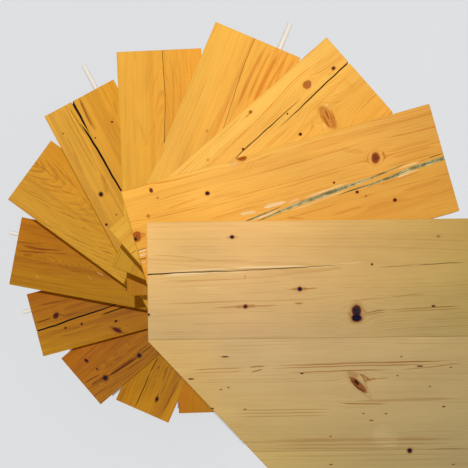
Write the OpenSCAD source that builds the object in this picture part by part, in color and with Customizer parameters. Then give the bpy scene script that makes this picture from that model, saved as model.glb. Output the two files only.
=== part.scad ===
// Spiral staircase of thick pine planks.
// Every tread is one plank that a round steel column passes through near its inner
// corner. White sleeves on the column space the treads, and a few of them also rest on
// a white pin let into the wall. A landing of three planks covers the column's head.
// Millimetres, +Z up. The origin is on the floor, on the axis of the column.
// Treads are numbered from the landing down.

/* [Stair] */
// Number of treads between the floor and the landing
tread_count = 12; // [9:1:13]
// Height from one tread to the next
rise = 200; // [180:1:215]
// Turn from one tread to the next, in degrees
turn_per_tread = 25.6; // [24:0.1:28]
// Direction of the highest tread, in degrees from +X
first_turn = 15.1; // [10:0.1:20]

/* [Treads] */
// Length of a tread plank
tread_l = 865; // [750:1:950]
// Width of a tread plank
tread_w = 300; // [260:1:340]
// Thickness of a tread plank
tread_t = 60; // [45:1:70]
// From the column's axis to the tread's inner end
inner_margin = 104; // [95:1:140]
// From the column's axis to the tread's back edge
back_margin = 93; // [85:1:120]
// Small bevel on the edges of every plank
tread_arris_w = 3; // [1:0.5:5]

/* [Landing] */
// From the column's axis to the landing's left end
landing_left = 69; // [66:1:120]
// From the column's axis to the landing's free long edge
landing_front = 67; // [66:1:120]
// Thickness of the landing planks
landing_t = 60; // [45:1:70]
// Width of the plank over the column
first_plank_w = 284; // [240:1:320]
// Width of the plank next to it
second_plank_w = 272; // [240:1:300]
// Slope of the landing's diagonal cut, in degrees
cut_slope = 47.4; // [42:0.1:52]
// From the first seam to the corner where the diagonal cut starts
cut_past_seam = 3; // [2:1:40]
// Bevel on the edges of the landing planks and battens
landing_arris_w = 1; // [0.5:0.5:2]
// Width of a batten under the landing
batten_w = 70; // [50:1:95]
// Height of a batten under the landing
batten_h = 45; // [30:1:60]
// Number of battens under the landing
batten_count = 3; // [2:1:4]
// Distance that the battens keep from edges and from the column's head
batten_inset = 30; // [20:1:45]

/* [Column] */
// Outer diameter of the column
column_d = 76; // [60:1:80]
// Wall of the column
column_wall = 4; // [3:0.5:6]
// Clearance all round the column in treads and sleeves
column_gap = 0.3; // [0.2:0.1:0.5]
// Wall of a sleeve
sleeve_wall = 4; // [3:0.5:6]
// Diameter of a sleeve's two collars
collar_d = 136; // [120:1:140]
// Thickness of a sleeve's collar
collar_t = 6; // [4:0.5:8]
// Radius of the fillet between a sleeve and its collar
collar_fillet = 6; // [3:0.5:8]
// Diameter of the round plate on the floor
base_d = 300; // [280:1:400]
// Thickness of the round plate on the floor
base_t = 12; // [8:1:20]
// Diameter of the circle of anchor holes
anchor_circle_d = 230; // [200:1:250]
// Diameter of an anchor hole
anchor_hole_d = 14; // [10:1:18]
// Number of anchor holes
anchor_count = 4; // [3:1:8]
// Diameter of the round plate under the landing
head_d = 132; // [110:1:136]
// Thickness of the round plate under the landing
head_t = 8; // [6:1:12]

/* [Wall pins] */
// Diameter of a pin between tread and wall
pin_d = 18; // [16:1:24]
// Diameter of the pin's shank inside the tread
shank_d = 14; // [10:1:15]
// Depth of the shank in the tread
shank_l = 80; // [50:1:120]
// Clearance all round the shank
shank_gap = 0.2; // [0.1:0.05:0.4]
// From the tread's back edge to the pin's axis
pin_from_back = 75; // [50:1:95]
// Bevel on the pin's outer tip
pin_bevel = 1.5; // [0.5:0.5:3]
// Clearance between the walls and the furthest corners of the treads
wall_gap = 1.5; // [1:0.5:20]

/* [Hidden] */
$fn = 96;
full_turn = 360;
over = 10;

// Treads that rest on a wall pin
pinned = [3, 5, 7, 8];

// Drying cracks, as [distance from the outer end, distance from the back edge, width]
crack_01_end = [[0, 148, 9.5], [41, 147, 10], [97, 144.5, 9.5], [155, 137, 7.5], [212, 133.5, 4.5],
    [269, 132.5, 3], [309, 128.5, 0]];
crack_01_middle = [[92, 163.5, 0], [150, 156, 3], [208, 149.5, 5], [265, 146, 9], [322, 142, 10.5],
    [379, 138.5, 10], [436, 134, 9], [464, 130, 7], [494, 126.5, 5], [515, 123, 3], [535, 120, 0]];
crack_01_inner = [[455, 141, 0], [470, 140, 1.5], [491, 138, 3], [530, 133, 6], [550, 130.5, 4],
    [575, 127, 0]];
crack_02_end = [[0, 200.5, 8], [7, 200.5, 4.2], [56, 199.5, 3.6], [104, 198.5, 3.6], [152, 196, 3.4],
    [200, 193.2, 2.8], [230, 192.5, 2], [290, 191, 0]];
crack_02_middle = [[170, 213, 0], [200, 213, 1.2], [248, 213.4, 2], [300, 212, 3], [344, 211.4, 2.8],
    [382, 210.3, 2.2], [470, 208, 0]];
crack_03_end = [[0, 161.5, 1.2], [80, 161, 1.2], [152, 155.5, 1.4], [224, 147.7, 1.2], [296, 142, 1.2],
    [400, 136, 0]];
crack_04_end = [[0, 138, 1.5], [178, 134.5, 1.5], [316, 144.5, 1.6], [420, 147, 0]];
crack_05_end = [[0, 179, 9], [60, 178, 8], [92, 178, 7], [112, 178.5, 4.5], [130, 178.6, 1.6],
    [146, 178.4, 0]];
crack_05_middle = [[84, 192, 0], [100, 189.5, 2.2], [116, 187, 4.5], [128, 185.3, 6.5], [152, 184, 7.6],
    [200, 181, 7.6], [248, 178.6, 8], [272, 178.2, 7.5], [296, 179.6, 7], [344, 177, 7],
    [392, 174.5, 6.5], [480, 172, 6], [590, 170, 0]];
crack_08_end = [[0, 178, 7], [115, 174, 7.5], [156, 167.5, 8], [200, 165.3, 7], [248, 163, 7],
    [296, 161.3, 6.6], [344, 158.3, 5], [368, 155.5, 4], [410, 154, 0]];
// Crack in the landing, as [distance from the left end, distance from the long edge, width]
crack_landing = [[0, 126.7, 3], [50, 124, 2.4], [80, 122.3, 1.8], [130, 121.5, 1.8], [209, 120.3, 1.4],
    [272, 117.6, 1.2], [368, 114, 1.2], [441, 110, 1], [501, 104, 0]];

landing_top = (tread_count + 1) * rise;
landing_under = landing_top - landing_t;
hole_d = column_d + 2 * column_gap;
outer_end = tread_l - inner_margin;
front_margin = tread_w - back_margin;

// The walls stand just clear of the furthest front corners of the treads
function turn_of(k) = first_turn + (k - 1) * turn_per_tread;
function tread_top(k) = (tread_count + 1 - k) * rise;
function corner(k) = [
    outer_end * cos(turn_of(k)) - front_margin * sin(turn_of(k)),
    outer_end * sin(turn_of(k)) + front_margin * cos(turn_of(k))
];
wall_x = max([for (k = [1:tread_count]) -corner(k)[0]]) + wall_gap;
wall_y = max([for (k = [1:tread_count]) corner(k)[1]]) + wall_gap;

// Free length of a pin, from the tread's end to the wall that it points at
function pin_start(k) = let (across = pin_from_back - back_margin) [
    outer_end * cos(turn_of(k)) - across * sin(turn_of(k)),
    outer_end * sin(turn_of(k)) + across * cos(turn_of(k))
];
function wall_distance(from, toward, wall) =
    abs(toward) < 0.01 ? 2 * wall : (sign(toward) * wall - from) / toward;
function pin_reach(k) = min(
    wall_distance(pin_start(k)[0], cos(turn_of(k)), wall_x),
    wall_distance(pin_start(k)[1], sin(turn_of(k)), wall_y)
);

// Battens stand side by side under the landing and stop short of its edges
batten_first_x = head_d / 2 + batten_inset + batten_w / 2;
batten_last_x = wall_x - batten_inset - batten_w / 2;
batten_pitch = (batten_last_x - batten_first_x) / (batten_count - 1);
function batten_x(i) = batten_first_x + (i - 1) * batten_pitch;
function cut_y(x) = landing_front - first_plank_w - cut_past_seam - (x + landing_left) * tan(cut_slope);
function batten_low_y(i) = max(-wall_y, cut_y(batten_x(i) - batten_w / 2)) + batten_inset;

function two_digits(k) = str(k < 10 ? "0" : "", k);
function tread_name(k) = str("tread_", two_digits(k));
function sleeve_name(k) = str("sleeve_", two_digits(k));
function pin_name(k) = str("wall_pin_", two_digits(k));
function plank_name(i) = str("landing_plank_", i);
function batten_name(i) = str("landing_batten_", i);

pine = [0.91, 0.68, 0.34];
pale_pine = [0.87, 0.74, 0.52];
white_paint = [0.93, 0.91, 0.85];

// Rectangle with bevelled corners, from the origin to [w, h]
module bevelled(w, h, bevel) {
    polygon([
        [bevel, 0], [w - bevel, 0], [w, bevel], [w, h - bevel],
        [w - bevel, h], [bevel, h], [0, h - bevel], [0, bevel]
    ]);
}

// Board from the origin to [l, w, t], with every edge bevelled
module board(l, w, t, bevel) {
    intersection() {
        linear_extrude(t) bevelled(l, w, bevel);
        rotate([90, 0, 90]) linear_extrude(l) bevelled(w, t, bevel);
        translate([0, w, 0]) rotate([90, 0, 0]) linear_extrude(w) bevelled(l, t, bevel);
    }
}

// Crack through a board, along +X from the end where x = 0
module crack(path, depth) {
    mouth = path[0][2] > 0 ? [[-over, path[0][1], path[0][2]]] : [];
    line = concat(mouth, path);
    last = len(line) - 1;
    one_lip = [for (p = line) [p[0], p[1] + p[2] / 2]];
    other_lip = [for (i = [last:-1:0]) if (line[i][2] > 0) [line[i][0], line[i][1] - line[i][2] / 2]];
    translate([0, 0, -over]) linear_extrude(depth + 2 * over) polygon(concat(one_lip, other_lip));
}

// Cracks of each tread, counted from the landing
function cracks_of(k) =
    k == 1 ? [crack_01_end, crack_01_middle, crack_01_inner] :
    k == 2 ? [crack_02_end, crack_02_middle] :
    k == 3 ? [crack_03_end] :
    k == 4 ? [crack_04_end] :
    k == 5 ? [crack_05_end, crack_05_middle] :
    k == 8 ? [crack_08_end] : [];

function is_pinned(k) = len(search(k, pinned)) > 0;

// Moves what follows into the plank's own place: x outwards, z = 0 on top of the tread
module on_tread(k) {
    translate([0, 0, tread_top(k)]) rotate([0, 0, turn_of(k)]) children();
}

module tread(k) {
    color(pine) on_tread(k) difference() {
        translate([-inner_margin, -back_margin, -tread_t]) board(tread_l, tread_w, tread_t, tread_arris_w);
        translate([0, 0, -tread_t - over]) cylinder(d = hole_d, h = tread_t + 2 * over);
        for (path = cracks_of(k))
            translate([outer_end, -back_margin, -tread_t]) mirror([1, 0, 0]) crack(path, tread_t);
        if (is_pinned(k))
            translate([outer_end - shank_l, pin_from_back - back_margin, -tread_t / 2])
                rotate([0, 90, 0]) cylinder(d = shank_d + 2 * shank_gap, h = shank_l + over);
    }
}

// Pin with a thin shank in the tread and a thick rod from the tread's end to the wall
module wall_pin(k) {
    rod_l = pin_reach(k);
    color(white_paint) on_tread(k)
        translate([outer_end - shank_l, pin_from_back - back_margin, -tread_t / 2])
            rotate([0, 90, 0]) rotate_extrude() polygon([
                [0, 0], [shank_d / 2, 0], [shank_d / 2, shank_l], [pin_d / 2, shank_l],
                [pin_d / 2, shank_l + rod_l - pin_bevel], [pin_d / 2 - pin_bevel, shank_l + rod_l],
                [0, shank_l + rod_l]
            ]);
}

// Sleeve k stands on tread k, and the last one stands on the floor plate
function sleeve_low(k) = k == tread_count + 1 ? base_t : tread_top(k);
function sleeve_high(k) = k == 1 ? landing_under - head_t : tread_top(k - 1) - tread_t;

module sleeve(k) {
    h = sleeve_high(k) - sleeve_low(k);
    inner = hole_d / 2;
    outer = inner + sleeve_wall;
    color(white_paint) translate([0, 0, sleeve_low(k)]) rotate_extrude() difference() {
        union() {
            translate([inner, 0]) square([sleeve_wall, h]);
            translate([inner, 0]) square([collar_d / 2 - inner, collar_t]);
            translate([inner, h - collar_t]) square([collar_d / 2 - inner, collar_t]);
            translate([outer, collar_t]) square([collar_fillet, h - 2 * collar_t]);
        }
        translate([outer + collar_fillet, collar_t + collar_fillet]) circle(collar_fillet);
        translate([outer + collar_fillet, h - collar_t - collar_fillet]) circle(collar_fillet);
        translate([outer, collar_t + collar_fillet])
            square([2 * collar_fillet, h - 2 * (collar_t + collar_fillet)]);
    }
}

module column() {
    h = landing_under - head_t - base_t;
    color(white_paint) translate([0, 0, base_t]) difference() {
        cylinder(d = column_d, h = h);
        translate([0, 0, -over]) cylinder(d = column_d - 2 * column_wall, h = h + 2 * over);
    }
}

module base_plate() {
    color(white_paint) difference() {
        cylinder(d = base_d, h = base_t);
        for (i = [1:anchor_count])
            rotate([0, 0, (i - 0.5) * full_turn / anchor_count]) translate([anchor_circle_d / 2, 0, -over])
                cylinder(d = anchor_hole_d, h = base_t + 2 * over);
    }
}

module head_plate() {
    color(white_paint) translate([0, 0, landing_under - head_t]) cylinder(d = head_d, h = head_t);
}

// Distance from the free long edge to both sides of plank i
plank_sides = [
    [0, first_plank_w],
    [first_plank_w, first_plank_w + second_plank_w],
    [first_plank_w + second_plank_w, landing_front + wall_y]
];

// What the diagonal takes off the landing's free corner
module cut_off_corner() {
    far_x = wall_x + over;
    translate([0, 0, landing_under - over]) linear_extrude(landing_t + 2 * over) polygon([
        [-landing_left - over, cut_y(-landing_left - over)],
        [far_x, cut_y(far_x)],
        [-landing_left - over, cut_y(far_x)]
    ]);
}

module landing_plank(i) {
    near = plank_sides[i - 1][0];
    far = plank_sides[i - 1][1];
    l = landing_left + wall_x;
    color(pale_pine) difference() {
        translate([-landing_left, landing_front - far, landing_under])
            board(l, far - near, landing_t, landing_arris_w);
        if (i > 1) cut_off_corner();
        if (i == 1)
            translate([-landing_left, landing_front, landing_under]) mirror([0, 1, 0])
                crack(crack_landing, landing_t);
    }
}

module landing_batten(i) {
    high_y = landing_front - batten_inset;
    color(pine) translate([batten_x(i) - batten_w / 2, batten_low_y(i), landing_under - batten_h])
        board(batten_w, high_y - batten_low_y(i), batten_h, landing_arris_w);
}

for (k = [1:tread_count]) tread(k);
for (k = [1:tread_count + 1]) sleeve(k);
for (k = pinned) wall_pin(k);
for (i = [1:3]) landing_plank(i);
for (i = [1:batten_count]) landing_batten(i);
column();
base_plate();
head_plate();
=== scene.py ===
# Spiral staircase of split pine planks round a white steel column, seen from straight above.
# Metres, in the frame of the model. Planks, sleeves, pins and bolts are surfaces worked out from
# formulas, and the wood is a solid texture in each plank's own coordinates.

import math

import bmesh
import bpy
import numpy as np
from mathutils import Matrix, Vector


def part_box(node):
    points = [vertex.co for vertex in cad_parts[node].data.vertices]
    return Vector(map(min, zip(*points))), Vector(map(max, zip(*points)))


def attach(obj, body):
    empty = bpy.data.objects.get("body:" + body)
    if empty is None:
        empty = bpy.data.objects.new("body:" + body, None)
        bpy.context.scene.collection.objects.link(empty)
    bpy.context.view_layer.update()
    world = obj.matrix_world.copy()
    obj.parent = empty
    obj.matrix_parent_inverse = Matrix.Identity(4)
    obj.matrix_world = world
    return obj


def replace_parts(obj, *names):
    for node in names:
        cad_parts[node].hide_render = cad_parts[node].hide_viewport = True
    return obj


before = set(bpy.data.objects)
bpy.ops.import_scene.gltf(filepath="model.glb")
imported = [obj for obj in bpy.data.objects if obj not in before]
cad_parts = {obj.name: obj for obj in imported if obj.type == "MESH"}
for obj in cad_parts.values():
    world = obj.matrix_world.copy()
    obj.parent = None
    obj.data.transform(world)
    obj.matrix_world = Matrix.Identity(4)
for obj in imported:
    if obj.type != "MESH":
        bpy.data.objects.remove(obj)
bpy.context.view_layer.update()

MM = 0.001

# Stair: steps, boards, steel on the axis, fasteners and wall pins
TREADS = 12
FIRST_TURN = math.radians(15.1)
TURN = math.radians(25.6)
TREAD_L = 0.865
TREAD_W = 0.300
INNER_MARGIN = 0.104
BACK_MARGIN = 0.093
LANDING_LEFT = 0.069
LANDING_BOARDS = (1, 2, 3)
CUT_BOARDS = ("landing_plank_2", "landing_plank_3")
CUT_SLOPE = math.radians(47.4)
CUT_START_Y = -0.220
COLUMN_R = 0.038
COLUMN_GAP = 0.0003
SLEEVE_WALL = 0.004
COLLAR_R = 0.068
COLLAR_T = 0.006
COLLAR_FILLET = 0.006
ANCHOR_CIRCLE_R = 0.115
ANCHORS = 4
ANCHOR_HOLE_R = 0.007
WASHER_R = 0.012
WASHER_T = 0.0025
NUT_FLAT = 0.0095
NUT_T = 0.010
STUD_R = 0.006
STUD_PITCH = 0.00175
STUD_TURNS = 9
THREAD_DEPTH = 0.0009
SCREW_R = 0.005
SCREW_SHARES = (0.2, 0.8)
SCREW_STAGGER = 0.014
BATTEN_MARGIN = 0.02
PINNED = (3, 5, 7, 8)
PIN_R = 0.009
SHANK_R = 0.007
SHANK_L = 0.080
SHANK_GAP = 0.0002
PIN_FROM_BACK = 0.075

# Radius of rounded edges, and how unevenly the boards' edges are worn
TREAD_EDGE = 0.003
LANDING_EDGE = 0.0016
BATTEN_EDGE = 0.002
RIM_EDGE = 0.0012
PIN_EDGE = 0.003
WASHER_EDGE = 0.0006
PLATE_EDGES = {"base_plate": 0.002, "head_plate": 0.001}
EDGE_UNEVEN = 0.35
EDGE_WAVE = 0.05

# Worn faces: depth, distance from the edge where it is reached, and size of the waves
WEAR = 0.0005
WEAR_REACH = 0.03
WEAR_WAVE = 0.09
HOLLOW_DEPTH = 0.35

# Cracks: radius of the lips, also as a share of the half width, torn walls with the half width at
# which they are fully torn, and smoothing and unevenness of the centre line
LIP = 0.001
LIP_SHARE = 0.6
TORN = 0.0008
TORN_WAVE = 0.012
TORN_WIDTH = 0.002
TORN_RISE = 20
CRACK_SMOOTH = 0.024
CRACK_UNEVEN = 0.0005

# Spacing and number of the points
BOARD_STEP = 0.011
BATTEN_STEP = 0.015
ROW_SHARE = 0.65
LIP_REACH = 0.0016
TIP_REACH = 0.012
LEAST_STEP = 0.0004
SPOT_POINTS = 13
END_SHARES = np.array([0, 0.1, 0.3, 0.6, 1])
WALL_SHARES = np.array([0, 0.015, 0.04, 0.08, 0.14, 0.22, 0.5, 1])
WALL_STEPS = 4
ARC_STEPS = 4
FILLET_POINTS = 9
BORE_SIDES = 64
SCREW_SIDES = 20
ROUND_SIDES = 48
NUT_SIDES = 72
SLEEVE_SIDES = 96
PLATE_SIDES = 128
SHARP = math.radians(38)
MERGE = 2e-6

# How far the drills reach past what they cut
BORE_BELOW = 0.2
BORE_ABOVE = 0.1
SHANK_PAST = 0.05
HOLE_PAST = 0.01

# The photograph's camera: width and focal length in pixels, pixel straight below it, place and roll
FRAME_PX = 468
FOCAL_PX = 709
NADIR_PX = (203.8, 294.5)
CAMERA = (0.0667, -0.1088, 4.309)
ROLL = math.radians(0.7)
SENSOR_MM = 36

# Light: linear strengths of the sky and of the lamp, its spread, and how far it leans per height
SKY = (0.378, 0.324, 0.297)
SUN = (1.893, 2.062, 2.147)
SUN_SPREAD = math.radians(0.7)
SUN_LEAN = (0.091, 0.055)
BACKDROP = (222, 224, 226)
FLOOR_REACH = 12
FLOOR_ROUGHNESS = 0.7


def linear(red, green, blue):
    """A colour given as screen values from 0 to 255, as linear light with full cover."""
    values = np.array([red, green, blue]) / 255
    return (*np.where(values < 0.04045, values / 12.92, ((values + 0.055) / 1.055) ** 2.4), 1)


def turned_point(x, y, angle):
    """Point (x, y) turned about the origin."""
    c, s = math.cos(angle), math.sin(angle)
    return x * c - y * s, x * s + y * c


def photo_point(px, py, height):
    """Place on the level plane at this height that shows at a pixel of the photograph."""
    scale = (CAMERA[2] - height) / FOCAL_PX
    x, y = turned_point((px - NADIR_PX[0]) * scale, (NADIR_PX[1] - py) * scale, -ROLL)
    return x + CAMERA[0], y + CAMERA[1]


class Plank:
    """One board. In its own coordinates a runs along it from the inner end, b across it from the
    back edge, and z up from its top."""

    def __init__(self, node, corner, turn, length, width):
        low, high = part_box(node)
        self.node = node
        self.corner = corner
        self.turn = turn
        self.length = length
        self.width = width
        self.top = high.z
        self.thick = high.z - low.z

    def mark(self, px, py):
        """Pixel of the photograph as (a, b, 0) on this board's top, in millimetres."""
        x, y = photo_point(px, py, self.top)
        a, b = turned_point(x - self.corner[0], y - self.corner[1], -self.turn)
        return a / MM, b / MM, 0

    def to_room(self, points):
        """Points in the board's own coordinates, in the frame of the model."""
        c, s = math.cos(self.turn), math.sin(self.turn)
        turn = np.array([[c, s, 0], [-s, c, 0], [0, 0, 1]])
        return points @ turn + np.array([*self.corner, self.top])


def tread_plank(k):
    """Board of tread k, counted from the landing."""
    turn = FIRST_TURN + (k - 1) * TURN
    corner = turned_point(-INNER_MARGIN, -BACK_MARGIN, turn)
    return Plank(f"tread_{k:02d}", corner, turn, TREAD_L, TREAD_W)


def landing_plank(i):
    """Board i of the landing, counted from the free long edge."""
    node = f"landing_plank_{i}"
    low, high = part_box(node)
    return Plank(node, (-LANDING_LEFT, low.y), 0, high.x + LANDING_LEFT, high.y - low.y)


# Surfaces

def wave(x, y, seed, scale):
    """Smooth uneven height from -1 to 1: a sum of four sine waves of unlike directions."""
    total = 0
    for n in range(4):
        angle = seed * 1.7 + n * 2.4
        length = scale * (0.6 + 0.35 * n)
        total = total + np.sin((x * math.cos(angle) + y * math.sin(angle)) / length + seed * 3.1 + n * 1.9)
    return total / 4


def spaced(low, high, step, near, spots=()):
    """Positions from low to high, about one step apart, closer at both ends and round the spots."""
    near = min(near, 0.3 * (high - low))
    close = near * END_SHARES
    count = max(2, round((high - low - 2 * near) / step) + 1)
    middle = np.linspace(low + near, high - near, count)
    for centre, reach in spots:
        extra = np.linspace(centre - reach, centre + reach, SPOT_POINTS)
        middle = np.concatenate([middle[np.abs(middle - centre) > reach], extra])
    middle = np.sort(middle[(middle >= low + near) & (middle <= high - near)])
    middle = middle[np.concatenate([[True], np.diff(middle) > LEAST_STEP])]
    return np.unique(np.concatenate([low + close, middle, high - close]).round(6))


def eased(distance, radius):
    """How far a rounded edge lies below the face, at a distance from the edge."""
    inside = np.clip(radius - distance, 0, None)
    return radius - np.sqrt(np.clip(radius ** 2 - inside ** 2, 0, None))


class Faces:
    """Vertices and faces gathered from several grids of points."""

    def __init__(self):
        self.points = []
        self.quads = []
        self.kinds = []
        self.count = 0

    def grid(self, points, kind=0, flip=False, keep=None):
        """Adds an array of points, rows by columns, as quads. keep picks the rows of quads."""
        rows, columns = points.shape[:2]
        index = self.count + np.arange(rows * columns).reshape(rows, columns)
        quad = np.stack([index[:-1, :-1], index[1:, :-1], index[1:, 1:], index[:-1, 1:]], axis=-1)
        if keep is not None:
            quad = quad[keep]
        quad = quad.reshape(-1, 4)
        self.points.append(points.reshape(-1, 3))
        self.quads.append(quad[:, ::-1] if flip else quad)
        self.kinds.append(np.full(len(quad), kind))
        self.count += rows * columns

    def mesh(self, name, materials=()):
        """The gathered faces as one mesh with its doubles merged and its loose points gone."""
        data = bpy.data.meshes.new(name)
        for material in materials:
            data.materials.append(material)
        data.from_pydata(np.concatenate(self.points).tolist(), [], np.concatenate(self.quads).tolist())
        data.polygons.foreach_set("material_index", np.concatenate(self.kinds).astype(np.int32))
        shape = bmesh.new()
        shape.from_mesh(data)
        bmesh.ops.remove_doubles(shape, verts=shape.verts, dist=MERGE)
        loose = [vert for vert in shape.verts if not vert.link_faces]
        bmesh.ops.delete(shape, geom=loose, context="VERTS")
        shape.to_mesh(data)
        shape.free()
        return data


def wall_between(top, bottom):
    """Grid of points from a line on the top face down to the same line on the bottom face."""
    share = np.linspace(0, 1, WALL_STEPS + 1)[None, :, None]
    return top[:, None, :] * (1 - share) + bottom[:, None, :] * share


class Crack:
    """Drying crack along a board: centre line and half width at each distance from the inner end.
    It narrows below the top to a share of its width: left + (1 - left) * (1 - depth / deep).
    Its centre shifts across the board by lean times the depth."""

    def __init__(self, path, length, from_outer, left, deep, lean, wall):
        along, across, width = (np.array(column) * MM for column in zip(*path))
        if from_outer:
            along, across, width = (length - along)[::-1], across[::-1], width[::-1]
        self.along, self.across, self.half = along, across, width / 2
        self.left, self.deep, self.lean = left, deep * MM, lean
        self.kind = 1 + list(CRACK_WALLS).index(wall)

    def centre(self, a, depth=0.0):
        """Centre line, smoothed over a few centimetres and slightly uneven."""
        shifts = np.linspace(-CRACK_SMOOTH, CRACK_SMOOTH, 7)
        near = [np.interp(a + shift, self.along, self.across) for shift in shifts]
        uneven = CRACK_UNEVEN * np.sin(a / 0.0093) * np.sin(a / 0.041 + 1)
        return np.mean(near, axis=0) + uneven + self.lean * depth

    def half_width(self, a, depth=0.0):
        """Half of the width at a distance along the board, at a depth."""
        inside = (a >= self.along[0] - 1e-9) & (a <= self.along[-1] + 1e-9)
        half = np.where(inside, np.interp(a, self.along, self.half), 0)
        share = self.left + (1 - self.left) * np.clip(1 - depth / self.deep, 0, 1)
        return half * share


def board_surface(plank, materials, cracks=(), spots=(), start=None, ease=TREAD_EDGE, seed=1,
                  step=BOARD_STEP):
    """Board with eased edges and open cracks.
    The top and bottom are grids of (a, b), with a gap where a crack is open. Each face dips by a
    quarter circle towards every edge and lip, and by a slight uneven wear elsewhere. Walls join
    the two faces all round and inside the cracks. start(b) is where the board begins along a."""
    length, width, thick = plank.length, plank.width, plank.thick
    slant = start is not None
    start = start or np.zeros_like
    tips = [(tip, TIP_REACH) for crack in cracks for tip in (crack.along[0], crack.along[-1])]
    rows = spaced(0, length, ROW_SHARE * step, 2 * ease, [(a, reach) for a, b, reach in spots] + tips)
    limits = [0] + [crack.centre(rows).mean() for crack in cracks] + [width]
    faces = Faces()

    def height(a, b, bottom):
        """How far the face lies inside the plain board."""
        from_start = (a - start(b)) * (math.sin(CUT_SLOPE) if slant else 1)
        sides = (from_start, length - a, b, width - b)
        edge = ease * (1 + EDGE_UNEVEN * wave(a, b, seed + 5, EDGE_WAVE))
        dip = np.maximum.reduce([eased(d, edge) for d in sides])
        for crack in cracks:
            depth = thick if bottom else 0
            half = crack.half_width(a, depth)
            away = np.abs(b - crack.centre(a, depth)) - half
            dip = np.maximum(dip, eased(away, np.minimum(LIP, LIP_SHARE * half)))
        inner = np.clip(np.minimum.reduce(sides) / WEAR_REACH, 0, 1)
        return dip + inner * WEAR * (1 + wave(a, b, seed + (9 if bottom else 2), WEAR_WAVE))

    def rounded(a, b):
        """Points near an upright corner drawn back onto its arc."""
        from_end = length - a if slant else np.minimum(a, length - a)
        u = np.maximum(ease - from_end, 0)
        v = np.maximum(ease - np.minimum(b, width - b), 0)
        back = 1 - np.minimum(1, ease / np.maximum(np.hypot(u, v), 1e-9))
        return a + back * u * np.sign(length / 2 - a), b + back * v * np.sign(width / 2 - b)

    def sunk(a, b):
        """Depth of the sunk knots: reach * (1 - (distance / reach)^2)^2, times a factor."""
        deep = 0
        for spot_a, spot_b, reach in spots:
            away = np.hypot((a - spot_a) / reach, (b - spot_b) / reach)
            deep = deep + HOLLOW_DEPTH * reach * np.clip(1 - away ** 2, 0, 1) ** 2
        return deep

    def face_of(j, bottom):
        """Top or bottom face between crack j - 1 and crack j, or an edge."""
        inner_spots = [(b, reach) for a, b, reach in spots]
        base = spaced(limits[j], limits[j + 1], step, LIP_REACH if cracks else 2 * ease, inner_spots)
        share = (base - limits[j]) / (limits[j + 1] - limits[j])
        depth = thick if bottom else 0
        low, high = np.zeros_like(rows), np.full_like(rows, width)
        if j > 0:
            low = cracks[j - 1].centre(rows, depth) + cracks[j - 1].half_width(rows, depth)
        if j < len(cracks):
            high = cracks[j].centre(rows, depth) - cracks[j].half_width(rows, depth)
        b = low[:, None] + (high - low)[:, None] * share[None, :]
        first = start(b)
        a = first + (length - first) * rows[:, None] / length
        dip = height(a, b, bottom)
        a, b = rounded(a, b)
        return np.stack([a, b, -thick + dip if bottom else -dip - sunk(a, b)], axis=-1)

    def crack_wall(crack, side, top, low):
        """Torn wall of a crack, from its lip on the top face to its lip below."""
        share = WALL_SHARES[None, :]
        z = top[:, 2:] * (1 - share) + low[:, 2:] * share
        a = np.repeat(rows[:, None], share.size, axis=1)
        half = crack.half_width(a, -z)
        torn = TORN * wave(a * 1.5, z * 4, seed, TORN_WAVE) * np.clip(half / TORN_WIDTH, 0, 1)
        ends = np.clip(share * TORN_RISE, 0, 1) * np.clip((1 - share) * TORN_RISE, 0, 1)
        b = crack.centre(a, -z) + side * (half + torn * ends)
        wall = np.stack([a, b, z], axis=-1)
        wall[:, 0], wall[:, -1] = top, low
        return wall

    for j in range(len(cracks) + 1):
        top, low = face_of(j, False), face_of(j, True)
        faces.grid(top)
        faces.grid(low, flip=True)
        for side, flip, n in ((0, False, j - 1), (-1, True, j)):
            if 0 <= n < len(cracks):
                wall = crack_wall(cracks[n], -1 if flip else 1, top[:, side], low[:, side])
                wide = cracks[n].half_width(rows) > 1e-7
                faces.grid(wall, kind=cracks[n].kind, flip=flip, keep=wide[:-1] | wide[1:])
            else:
                faces.grid(wall_between(top[:, side], low[:, side]), flip=flip)
        faces.grid(wall_between(top[0], low[0]), flip=True)
        faces.grid(wall_between(top[-1], low[-1]))
    faces.points = [plank.to_room(points) for points in faces.points]
    return faces.mesh(plank.node, materials)


def rounded_corners(corners, radius):
    """Outline with each corner replaced by an arc that touches both of its sides."""
    points = []
    corners = [np.array(corner, float) for corner in corners]
    for before, here, after in zip([corners[-1]] + corners[:-1], corners, corners[1:] + corners[:1]):
        one, other = before - here, after - here
        long_one, long_other = np.linalg.norm(one), np.linalg.norm(other)
        half = math.acos(np.clip(one @ other / long_one / long_other, -1, 1)) / 2
        reach = min(radius / max(math.tan(half), 1e-6), 0.45 * min(long_one, long_other))
        first, last = here + one / long_one * reach, here + other / long_other * reach
        for n in range(ARC_STEPS + 1):
            t = n / ARC_STEPS
            points.append((1 - t) ** 2 * first + 2 * t * (1 - t) * here + t ** 2 * last)
    return np.array(points)


def middle_arcs(outline):
    """The arcs of the second and third corner of a rounded outline with four."""
    return outline[ARC_STEPS + 1:3 * (ARC_STEPS + 1)]


def turned_surface(faces, profile, sides, centre=(0, 0), radius_of=None):
    """Surface of revolution: (r cos t, r sin t, z) for each point (r, z) of a closed profile.
    radius_of(r, t) may lessen the radius, as for the flats of a nut."""
    angles = np.linspace(0, 2 * math.pi, sides + 1)[None, :]
    profile = np.concatenate([profile, profile[:1]])
    r = np.repeat(profile[:, :1], sides + 1, axis=1)
    if radius_of is not None:
        r = radius_of(r, angles)
    z = np.repeat(profile[:, 1:], sides + 1, axis=1)
    x, y = centre[0] + r * np.cos(angles), centre[1] + r * np.sin(angles)
    faces.grid(np.stack([x, y, z], axis=-1), flip=True)


def placed(name, data):
    """Object of the scene with this data."""
    obj = bpy.data.objects.new(name, data)
    bpy.context.scene.collection.objects.link(obj)
    return obj


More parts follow.
